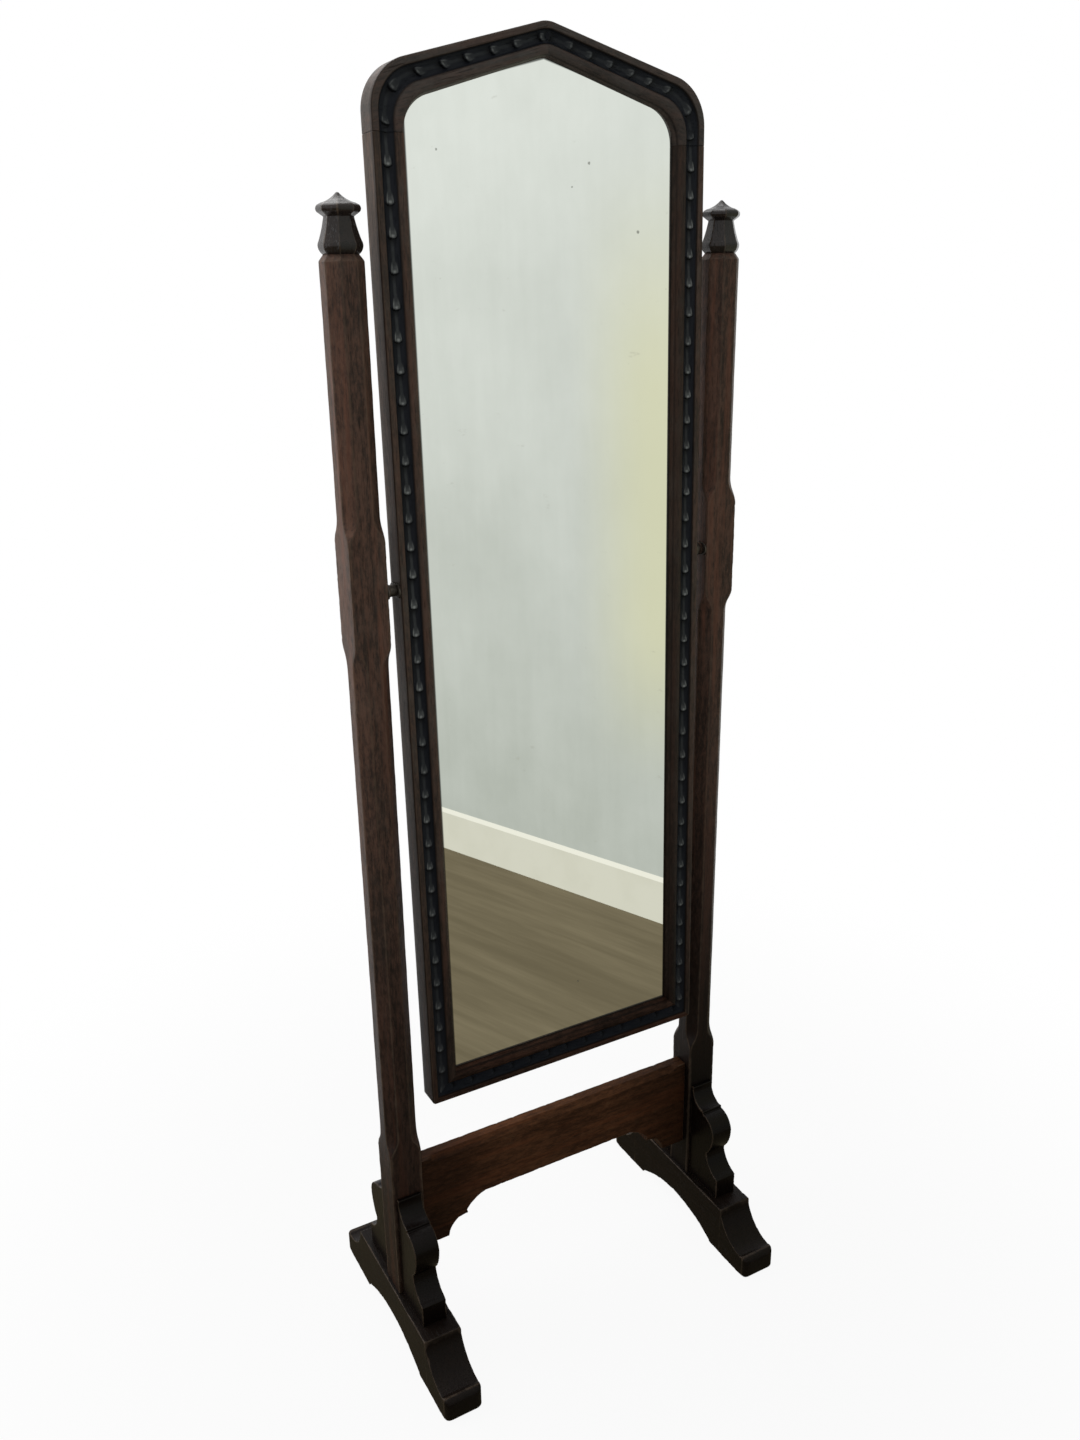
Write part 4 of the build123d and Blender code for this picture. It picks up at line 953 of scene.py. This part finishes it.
def tongues(travel, across, first, pitch, seed, count):
    """Height of the carved tongues in the hollow, at a distance of travel and a place across its middle.
    Each tongue rises by a power of its share of length to a rounded end, drops there within a millimetre
    to below the hollow, and the next one starts from that dip. The ends are arcs of the gouge's radius.
    Returns the height, the mark of painted highlights, partly rubbed wear, on the tongues' rims and ends,
    and the mark of painted shadow in the dips."""
    s = bpy.context.scene.cheval_frame
    rng = np.random.default_rng(seed)
    ends = first + np.r_[0, np.cumsum(pitch * (1 + rng.uniform(-0.09, 0.09, count)))]
    lift = mm(s.tongue_lift) * rng.uniform(0.8, 1.1, count + 2)
    drift = rng.uniform(-0.5, 0.5, count + 2)
    half = mm(s.tongue_width) / 2
    rough = np.searchsorted(ends, travel)
    a = across - drift[rough]
    lead = GOUGE - np.sqrt(np.maximum(0, GOUGE ** 2 - np.clip(a, 0.2 - GOUGE, GOUGE - 0.2) ** 2))
    at = travel + lead
    k = np.searchsorted(ends, at)
    starts = np.r_[ends[0] - pitch, ends]
    stops = np.r_[ends, ends[-1] + pitch]
    share = np.clip((at - starts[k]) / (stops[k] - starts[k]), 0, 1)
    rise = lift[k] * (0.12 * share + 0.88 * share ** 2.4)
    past = np.maximum(at - starts[k], 0)
    dip = -1.0 * np.exp(-(past / 5.0) ** 2)
    wall = lift[np.maximum(k - 1, 0)] * np.clip(1 - past / 0.9, 0, 1)
    crown = np.clip(1 - (np.abs(a) / half) ** 3, 0, 1)
    tool = 0.14 * waver(travel + 2 * a, seed + 1, longest=14, shortest=3)
    near = np.clip(travel / 4.0, 0, 1)
    cut = (np.maximum(rise + dip, wall) + tool * (0.3 + share)) * crown * near
    # Painted highlights: a pale body, a rim brighter on the left, where the light comes from, and a spot at
    # each end
    wide = 1.9 + 1.4 * np.clip((share - 0.6) / 0.3, 0, 1)
    tip = np.clip((share - 0.66) / 0.16, 0, 1) * np.clip((1 - share) / 0.04, 0, 1)
    body = 0.3 * np.clip(1.3 - (a / wide) ** 2, 0, 1) * np.maximum(tip, 0.5 * np.clip(share / 0.3, 0, 1))
    rim = np.exp(-((np.abs(a) - wide) / 0.55) ** 2) * tip * np.where(a < 0, 0.9, 0.45)
    spot = 1.2 * np.exp(-((share - 0.93) / 0.035) ** 2 - (a / 1.7) ** 2)
    glint = body + np.maximum(rim, spot)
    # Painted shadow in the dip past each end
    dark = np.clip(1.15 - past / 7.0, 0, 1) * crown
    return cut, glint * rng.uniform(0.6, 1.0, count + 2)[k] * near, dark * near


def carried(name, path, travel, ends, first, pitch, seed, joint, glow, dull, node, key):
    """A frame member: the section carried along a path, tilted back about the pivot.

    path(distance, inside, back) gives x and z of the point that lies inside the outer edge by that much;
    joint is the end, 0 or 1, that meets the next member square on, and its edges are eased there;
    glow scales the painted highlights on the tongues, partly rubbed wear, and the argument after it sets the
    painted shade that darkens the inner bead;
    ends(inside) gives where the member starts and stops there, so a mitre is a slanted pair;
    travel(distance) measures along the hollow's middle from the apex."""
    s = bpy.context.scene.cheval_frame
    section, wear, hollow, quirk = moulding(mm(s.thickness))
    inside, back = section.T
    # Painted shade on the inner bead, carried in the quirk mark
    quirk = np.maximum(quirk, dull * (inside > BEAD + HOLLOW) * (back < LIP_DEPTH + 1))
    begin, stop = ends(inside)
    longest = float(np.max(stop - begin))
    rows = max(8, int(longest / 1.1))
    share = np.r_[0, 0.7 / longest, np.linspace(0, 1, rows)[1:-1], 1 - 0.7 / longest, 1]
    distance = begin[None] + (stop - begin)[None] * share[:, None]
    depth = np.broadcast_to(back, distance.shape).copy()
    moved = travel(distance)
    across = np.broadcast_to(inside - HOLLOW_MIDDLE, distance.shape)
    cut, glint, dip = tongues(moved, across, first, pitch, seed, int(longest / pitch) + 3)
    depth -= cut * hollow[None]
    ease = np.where(share == joint, 0.5, 0.0)[:, None]
    face = np.clip(inside / 2, 0, 1) * (back < LIP_DEPTH + 0.5)
    depth += ease * face[None]
    drawn = inside[None] + ease * np.clip(1 - inside / 2, 0, 1)[None]
    x, z = path(distance, drawn, back)
    ply = mm(s.front) + depth - mm(PIVOT[1])
    up = z - mm(PIVOT[2])
    c, k = math.cos(REST_TILT), math.sin(REST_TILT)
    rings = np.dstack([x, ply * c + up * k + mm(PIVOT[1]), up * c - ply * k + mm(PIVOT[2])])
    # glint carries painted highlights and dip painted shadow
    marks = {"wear": wear[None] + 0 * distance, "hollow": hollow[None] + 0 * distance,
             "quirk": np.maximum(quirk[None] + 0 * distance, (ease > 0) * (back < 20)[None] * 1.0),
             "glint": glint * hollow[None] * glow, "dip": dip * hollow[None]}
    piece = skin(name, rings, **marks)
    return fitted(piece, node, "mirror", finish_for(key))


def frame_lines():
    """Lengths that the frame's paths share, in millimetres."""
    s = bpy.context.scene.cheval_frame
    half, bottom, apex = mm(s.width) / 2, mm(s.bottom), mm(s.bottom + s.height)
    radius = mm(s.shoulder)
    level = apex - (half - radius) * math.tan(s.slope) - radius / math.cos(s.slope)
    return half, bottom, apex, radius, level, level - STUB, s.slope


def rounded(u, v, radius=5.0):
    """Rounds the outer corner of two members: u and v are distances in from their two outer edges, and
    each square about the corner's centre becomes the circle that it holds."""
    a, b = np.maximum(radius - u, 0), np.maximum(radius - v, 0)
    scale = np.maximum(a, b) / np.maximum(np.hypot(a, b), 1e-9)
    near = (a > 0) & (b > 0)
    return np.where(near, radius - a * scale, u), np.where(near, radius - b * scale, v)


def make_stile(side):
    """A stile: its path is straight up; it starts on the mitre, as high as it is inside."""
    half, bottom, apex, radius, level, joint, slope = frame_lines()
    run = (half - radius) / math.cos(slope) + radius * math.tan(slope) - HOLLOW_MIDDLE * math.tan(slope)
    turn = (math.pi / 2 - slope) * (radius - HOLLOW_MIDDLE)

    def path(distance, inside, back):
        u, v = rounded(inside + 0 * distance, distance + 0 * inside)
        return side * (half - u), bottom + v

    def ends(inside):
        return inside.copy(), np.full_like(inside, joint - bottom)

    def travel(distance):
        return run + turn + level - (bottom + distance)

    first, pitch = (236.0, 33.6) if side < 0 else (231.0, 31.3)
    name = sided(side, "carved_stile")
    seed = bpy.context.scene.cheval_frame.tongue_seed + (1 if side < 0 else 2)
    # Full painted highlights on the stile's tongues; painted shade on the right stile's inner bead
    return carried(name, path, travel, ends, first, pitch, seed, 1, 1.0, 0.6 if side > 0 else 0.0,
                   name.replace("carved_", ""), "oak_stile")


def make_head(side):
    """Half of the head: up the stub, round the shoulder about its centre, and up the slope to the mitre
    at the apex. Towards the apex the front of the section narrows, and round the shoulder its inner
    lines turn on a larger radius than the outer edge."""
    half, bottom, apex, radius, level, joint, slope = frame_lines()
    stub = level - joint
    sweep = math.pi / 2 - slope
    bow = radius * sweep
    outer = (half - radius + radius * math.sin(slope)) / math.cos(slope)

    def path(distance, inside, back):
        front = back < LIP_DEPTH + 0.5
        extra = np.where(front, SHOULDER_GROWTH * np.clip(inside / SIGHT, 0, 1.05) ** 1.5, 0.0)
        bow_radius = radius - inside + extra
        start = level - extra * math.tan(sweep / 2)
        turn = np.clip((distance - stub) / radius, 0, sweep)
        climb = np.minimum(distance, stub) * (start - joint) / stub
        share = np.maximum(distance - stub - bow, 0) / (outer - inside * math.tan(slope))
        x = half - radius - extra + bow_radius * np.cos(turn)
        z = joint + climb + bow_radius * np.sin(turn)
        peak = apex - inside * np.where(front, HEAD_TAPER, 1.0) / math.cos(slope)
        x, z = x * (1 - share), z + (peak - z) * share
        near = np.clip(APEX_EASE - x, 0, APEX_EASE)
        return side * x, z - near ** 2 / (2 * APEX_EASE) * math.tan(slope)

    def ends(inside):
        return np.zeros_like(inside), stub + bow + outer - inside * math.tan(slope)

    def travel(distance):
        whole = outer - HOLLOW_MIDDLE * math.tan(slope)
        run = np.maximum(distance - stub - bow, 0)
        turn = np.clip((distance - stub) / radius, 0, sweep)
        return (whole - run) + (sweep - turn) * (radius - HOLLOW_MIDDLE) + np.maximum(stub - distance, 0)

    first, pitch = (9.3, 31.0) if side < 0 else (34.0, 28.4)
    name = sided(side, "carved_head_rail")
    seed = bpy.context.scene.cheval_frame.tongue_seed + (3 if side < 0 else 4)
    key = "oak_left_slope" if side < 0 else "oak_right_slope"
    # Weaker painted highlights on the head's tongues; painted shade on the right head's inner bead
    return carried(name, path, travel, ends, first, pitch, seed, 0, 0.45, 0.3 if side > 0 else 0.0,
                   name.replace("carved_", ""), key)


def make_bottom():
    """The bottom rail: straight across, mitred at both ends."""
    half, bottom, *_ = frame_lines()

    def path(distance, inside, back):
        inside = inside + 0 * distance
        u, v = rounded(np.minimum(distance, 2 * half - distance), inside)
        return np.where(distance < half, u - half, half - u), bottom + v

    def ends(inside):
        return inside.copy(), 2 * half - inside

    def travel(distance):
        return distance

    seed = bpy.context.scene.cheval_frame.tongue_seed + 5
    # Faint painted highlights on the bottom rail's tongues
    return carried("carved_bottom_rail", path, travel, ends, 31.0, 30.0, seed, 2, 0.1, 0.0, "bottom_rail",
                   "oak_bottom_rail")


# stage

# the photo's viewpoint: place in metres, angles, lens and sensor height in millimetres
EYE = (-0.7226, -1.2787, 1.4042)
YAW, PITCH, ROLL = (math.radians(angle) for angle in (28.898, -19.870, -0.876))
LENS, SENSOR_HEIGHT = 30.33, 36.0
# soft lamps: place, height of the target on the object's axis, width and height, watts
LAMPS = {
    "ceiling_lamp": ((-0.6, 0.9, 3.4), 0.8, (3.0, 2.4), 60),
    "left_lamp": ((-2.9, 1.9, 1.9), 0.9, (2.0, 2.4), 42),
    "front_lamp": ((0.8, -3.6, 2.4), 0.9, (2.4, 2.0), 8),
}
SKY_LIGHT = 0.34
FLOOR_REACH, FLOOR_SHADE = 40.0, 0.07
# the room in the glass, in metres: direction of the wall in plan, a point on it, how far it runs on both
# sides of that point and up; skirting board and floorboards
WALL_TURN = math.radians(70.68)
WALL_POINT = np.array([0.5181, -1.5967])
WALL_BACK, WALL_ON, WALL_HEIGHT = 3.2, 2.0, 3.2
SKIRTING_DEPTH, SKIRTING_HEIGHT, SKIRTING_TOP = 0.014, 0.108, 0.114
BOARDS_SIDE, BOARDS_END, BOARDS_LIFT = 6.0, 0.4, 0.0004


def lamp(name, place, target_height, size, watts):
    """A rectangular soft lamp that faces a point on the object's axis."""
    light = bpy.data.lights.new(name, "AREA")
    light.shape = "RECTANGLE"
    light.size, light.size_y = size
    light.energy = watts
    made = bpy.data.objects.new(name, light)
    made.location = place
    way = np.array((0, 0, target_height), float) - np.array(place, float)
    yaw = math.atan2(way[1], way[0]) - math.pi / 2
    tip = math.atan2(math.hypot(way[0], way[1]), -way[2])
    made.rotation_euler = (tip, 0, yaw)
    bpy.context.scene.collection.objects.link(made)


def sheet(name, corners, material):
    """A flat stage piece from its corners."""
    mesh = bpy.data.meshes.new(name)
    mesh.from_pydata([tuple(c) for c in corners], [], [tuple(range(len(corners)))])
    mesh.materials.append(material)
    made = bpy.data.objects.new(name, mesh)
    bpy.context.scene.collection.objects.link(made)
    return made


def seen_white(f):
    """1 for rays from the camera, from gloss and through glass."""
    rays = [f.node("ShaderNodeLightPath", {}, output=k) for k in
            ("Is Camera Ray", "Is Glossy Ray", "Is Transmission Ray")]
    return rays[0].math("MAXIMUM", rays[1]).math("MAXIMUM", rays[2])


def white_sky():
    """World that is white where it is seen, and lights the object by less."""
    world = bpy.data.worlds.new("studio")
    bpy.context.scene.world = world
    world.use_nodes = True
    f = Nodes(world.node_tree)
    level = seen_white(f) * (1 - SKY_LIGHT) + SKY_LIGHT
    glow = f.node("ShaderNodeBackground", {}, (1.0, 1.0, 1.0), level)
    out = f.tree.nodes.new("ShaderNodeOutputWorld")
    f.tree.links.new(glow.socket, out.inputs["Surface"])


def pale_floor(name):
    """Matt white floor that keeps shadows near the object and is plain white further off."""
    f = Finish(name, Base_Color=(0.55, 0.55, 0.55), Roughness=0.9, Specular_IOR_Level=0.1)
    spot = f.node("ShaderNodeTexCoord", {}, output="Object")
    away = f.node("ShaderNodeVectorMath", {"operation": "LENGTH"}, spot, output="Value")
    share = (away.fade(0.4, 1.4) * FLOOR_SHADE + (1 - FLOOR_SHADE)) * seen_white(f)
    glow = f.node("ShaderNodeEmission", {}, (1.0, 1.0, 1.0), 1.0)
    both = f.node("ShaderNodeMixShader", {}, share, Value(f, f.shader.outputs[0]), glow)
    f.tree.links.new(both.socket, f.output.inputs["Surface"])
    return f.material


def glowing(name, paint):
    """Stage surface that gives back one painted colour, whatever the light."""
    f = Finish(name)
    glow = f.node("ShaderNodeEmission", {}, paint(f), 1.0)
    f.tree.links.new(glow.socket, f.output.inputs["Surface"])
    return f.material


def wall_paint(f):
    """Pale plaster, a little darker low down, with trowel clouds, faint runs and scuffs, and a yellow
    cast at one end."""
    y, z = f.axis("Y"), f.axis("Z")
    cloud = f.noise(f.place(), 3.2, 5.0, 0.6)
    runs = f.noise(f.place(scale=(1, 1, 0.12)), 22.0, 4.0, 0.65)
    scuffs = f.noise(f.place(scale=(1, 1, 2.2), shift=(5, 5, 5)), 17.0, 5.0, 0.7).fade(0.66, 0.72)
    tone = (z * 0.5 + (cloud - 0.5) * 0.6 + (runs - 0.5) * 0.22 - 0.02).clamped()
    base = f.mixed(tone, srgb(182, 188, 179), srgb(226, 231, 225))
    cast = y.fade(-1.14, -0.90) * z.fade(0.3, 0.75) * z.fade(1.75, 1.2)
    base = f.mixed(cast * 0.7, base, srgb(216, 216, 176))
    return f.mixed(scuffs * 0.22, base, srgb(150, 148, 134))


def skirting_paint(f):
    """Cream gloss paint with faint yellowed clouds."""
    cloud = f.noise(f.place(), 9.0, 3.0, 0.5).fade(0.4, 0.7)
    return f.mixed(cloud * 0.35, srgb(214, 214, 198), srgb(202, 202, 184))


def lit_skirting_top_paint(f):
    """The upper edge of the skirting board, painted lighter where light falls on it from above."""
    return srgb(240, 240, 226)


def board_paint(f):
    """Grey-brown floorboards: fibres drawn out along the boards, board by board in tone."""
    turn = (0, 0, math.pi / 2 - WALL_TURN)
    fibre = f.noise(f.place(scale=(1, 0.07, 1), turn=turn), 34.0, 5.0, 0.65)
    broad = f.noise(f.place(scale=(1, 0.12, 1), turn=turn), 7.0, 3.0, 0.5)
    tone = (fibre * 0.9 + broad * 0.6 - 0.4).fade(0.1, 0.8)
    return f.mixed(tone, srgb(106, 98, 77), srgb(130, 121, 97))


def upright(start, end, low, high):
    """Corners of a standing sheet over a line in plan."""
    return [(*start, low), (*end, low), (*end, high), (*start, high)]


def room():
    """What the glass shows: a plastered wall with a skirting board and a boarded floor, off to the right.
    Only gloss sees it, so that it neither shows nor shades the object. Its sheets glow with painted colours
    that hold the room's light and shade, and the lamps don't change them."""
    along = np.array([math.cos(WALL_TURN), math.sin(WALL_TURN)])
    start, end = WALL_POINT - WALL_BACK * along, WALL_POINT + WALL_ON * along
    step = np.array([-along[1], along[0]]) * SKIRTING_DEPTH
    face_start, face_end = start + step, end + step
    top = [(*face_start, SKIRTING_HEIGHT), (*face_end, SKIRTING_HEIGHT),
           (*end, SKIRTING_TOP), (*start, SKIRTING_TOP)]
    x, y, z = BOARDS_SIDE, BOARDS_END, BOARDS_LIFT
    pieces = (
        ("room_wall", upright(start, end, 0.0, WALL_HEIGHT), "room_plaster", wall_paint),
        ("room_skirting", upright(face_start, face_end, 0.0, SKIRTING_HEIGHT), "room_skirting",
         skirting_paint),
        ("room_skirting_top", top, "room_skirting_top", lit_skirting_top_paint),
        ("room_floor", [(-x, -x, z), (x, -x, z), (x, y, z), (-x, y, z)], "room_boards", board_paint),
    )
    for name, corners, finish, paint in pieces:
        piece = sheet(name, corners, glowing(finish, paint))
        piece.visible_camera = False
        piece.visible_diffuse = False
        piece.visible_shadow = False
        piece.visible_transmission = False


def photo_eye():
    """Camera at the photo's place and angle: the axes come from yaw and pitch, and roll turns the two
    that lie across the view."""
    camera = bpy.data.cameras.new("camera")
    camera.sensor_fit = "VERTICAL"
    camera.sensor_height = SENSOR_HEIGHT
    camera.lens = LENS
    camera.clip_end = 100
    ahead = np.array([math.sin(YAW) * math.cos(PITCH), math.cos(YAW) * math.cos(PITCH), math.sin(PITCH)])
    right = np.array([math.cos(YAW), -math.sin(YAW), 0])
    up = np.cross(right, ahead)
    across = math.cos(ROLL) * right + math.sin(ROLL) * up
    above = -math.sin(ROLL) * right + math.cos(ROLL) * up
    turn = Matrix([[across[i], above[i], -ahead[i]] for i in range(3)])
    eye = bpy.data.objects.new("camera", camera)
    eye.matrix_world = Matrix.Translation(EYE) @ turn.to_4x4()
    bpy.context.scene.collection.objects.link(eye)
    bpy.context.scene.camera = eye


# operators

class CHEVAL_OT_posts(Operator):
    """Make the two chamfered posts"""
    bl_idname = "cheval.posts"
    bl_label = "Posts"
    bl_options = {"REGISTER", "UNDO"}

    def execute(self, context):
        for side, key in ((-1, "oak_upright"), (1, "oak_upright_painted_shade")):
            fitted(make_post(side), sided(side, "post"), "stand", finish_for(key))
        return {"FINISHED"}


class CHEVAL_OT_finials(Operator):
    """Make the two faceted finials"""
    bl_idname = "cheval.finials"
    bl_label = "Finials"
    bl_options = {"REGISTER", "UNDO"}

    def execute(self, context):
        for side in (-1, 1):
            fitted(make_finial(side), sided(side, "finial"), "stand", finish_for("oak_finial"))
        return {"FINISHED"}


class CHEVAL_OT_feet(Operator):
    """Make the two sledge feet"""
    bl_idname = "cheval.feet"
    bl_label = "Feet"
    bl_options = {"REGISTER", "UNDO"}

    def execute(self, context):
        for side in (-1, 1):
            fitted(make_foot(side), sided(side, "foot"), "stand", finish_for("oak_front_to_back"))
        return {"FINISHED"}


class CHEVAL_OT_brackets(Operator):
    """Make the four brackets between posts and feet"""
    bl_idname = "cheval.brackets"
    bl_label = "Brackets"
    bl_options = {"REGISTER", "UNDO"}

    def execute(self, context):
        for side in (-1, 1):
            for end, place in ((-1, "front"), (1, "rear")):
                node = sided(side, place + "_bracket")
                fitted(make_bracket(side, end), node, "stand", finish_for("oak_bracket"))
        return {"FINISHED"}


class CHEVAL_OT_rail(Operator):
    """Make the stretcher rail"""
    bl_idname = "cheval.rail"
    bl_label = "Stretcher rail"
    bl_options = {"REGISTER", "UNDO"}

    def execute(self, context):
        fitted(make_rail(), "stretcher_rail", "stand", finish_for("oak_across"))
        return {"FINISHED"}


class CHEVAL_OT_frame(Operator):
    """Make the carved frame of the mirror"""
    bl_idname = "cheval.frame"
    bl_label = "Carved frame"
    bl_options = {"REGISTER", "UNDO"}

    def execute(self, context):
        for side in (-1, 1):
            make_stile(side)
            make_head(side)
        make_bottom()
        return {"FINISHED"}


class CHEVAL_OT_glass(Operator):
    """Silver the mirror glass"""
    bl_idname = "cheval.glass"
    bl_label = "Glass"
    bl_options = {"REGISTER", "UNDO"}

    def execute(self, context):
        dress("old_silvering", "mirror_glass")
        return {"FINISHED"}


class CHEVAL_OT_backing(Operator):
    """Finish the backboard, its blocks and the dowels"""
    bl_idname = "cheval.backing"
    bl_label = "Backing"
    bl_options = {"REGISTER", "UNDO"}

    def execute(self, context):
        dress("stained_ply", "backboard")
        dress("bare_softwood", "glass_blocks")
        dress("beech", "finial_dowels", "bracket_dowels", "frame_dowels")
        return {"FINISHED"}


class CHEVAL_OT_fittings(Operator):
    """Finish the pivots, plates, screws and washers"""
    bl_idname = "cheval.fittings"
    bl_label = "Fittings"
    bl_options = {"REGISTER", "UNDO"}

    def execute(self, context):
        dress("dull_steel", "post_plates", "post_plate_screws", "frame_plates", "frame_plate_screws",
              "pivot_studs", "backboard_screws")
        dress("dark_leather", "friction_washers")
        return {"FINISHED"}


class CHEVAL_OT_stage(Operator):
    """Set up floor, light, room reflection and camera"""
    bl_idname = "cheval.stage"
    bl_label = "Stage"
    bl_options = {"REGISTER", "UNDO"}

    def execute(self, context):
        r = FLOOR_REACH
        sheet("pale_floor", [(-r, -r, 0), (r, -r, 0), (r, r, 0), (-r, r, 0)], pale_floor("pale_floor"))
        room()
        white_sky()
        for name, (place, target_height, size, watts) in LAMPS.items():
            lamp(name, place, target_height, size, watts)
        photo_eye()
        context.scene.view_settings.view_transform = "Standard"
        return {"FINISHED"}


class CHEVAL_PT_panel(Panel):
    """Sidebar panel with the sizes, the finishes and the operators"""
    bl_idname = "CHEVAL_PT_panel"
    bl_label = "Cheval mirror"
    bl_space_type = "VIEW_3D"
    bl_region_type = "UI"
    bl_category = "Cheval mirror"

    def draw(self, context):
        for group in ("cheval_stand", "cheval_frame", "cheval_finishes"):
            settings = getattr(context.scene, group)
            box = self.layout.box()
            for key in settings.__annotations__:
                box.prop(settings, key)
        for operator in OPERATORS:
            self.layout.operator(operator.bl_idname)


GROUPS = (("cheval_stand", StandSizes), ("cheval_frame", FrameSizes), ("cheval_finishes", Finishes))
OPERATORS = (CHEVAL_OT_posts, CHEVAL_OT_finials, CHEVAL_OT_feet, CHEVAL_OT_brackets, CHEVAL_OT_rail,
             CHEVAL_OT_frame, CHEVAL_OT_glass, CHEVAL_OT_backing, CHEVAL_OT_fittings, CHEVAL_OT_stage)


def register():
    for name, group in GROUPS:
        bpy.utils.register_class(group)
        setattr(bpy.types.Scene, name, PointerProperty(type=group))
    for operator in OPERATORS:
        bpy.utils.register_class(operator)
    bpy.utils.register_class(CHEVAL_PT_panel)


def unregister():
    bpy.utils.unregister_class(CHEVAL_PT_panel)
    for operator in reversed(OPERATORS):
        bpy.utils.unregister_class(operator)
    for name, group in reversed(GROUPS):
        delattr(bpy.types.Scene, name)
        bpy.utils.unregister_class(group)


def main():
    """Registers the classes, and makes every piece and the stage."""
    register()
    for operator in OPERATORS:
        getattr(bpy.ops.cheval, operator.bl_idname.split(".")[1])()


if __name__ == "__main__":
    main()
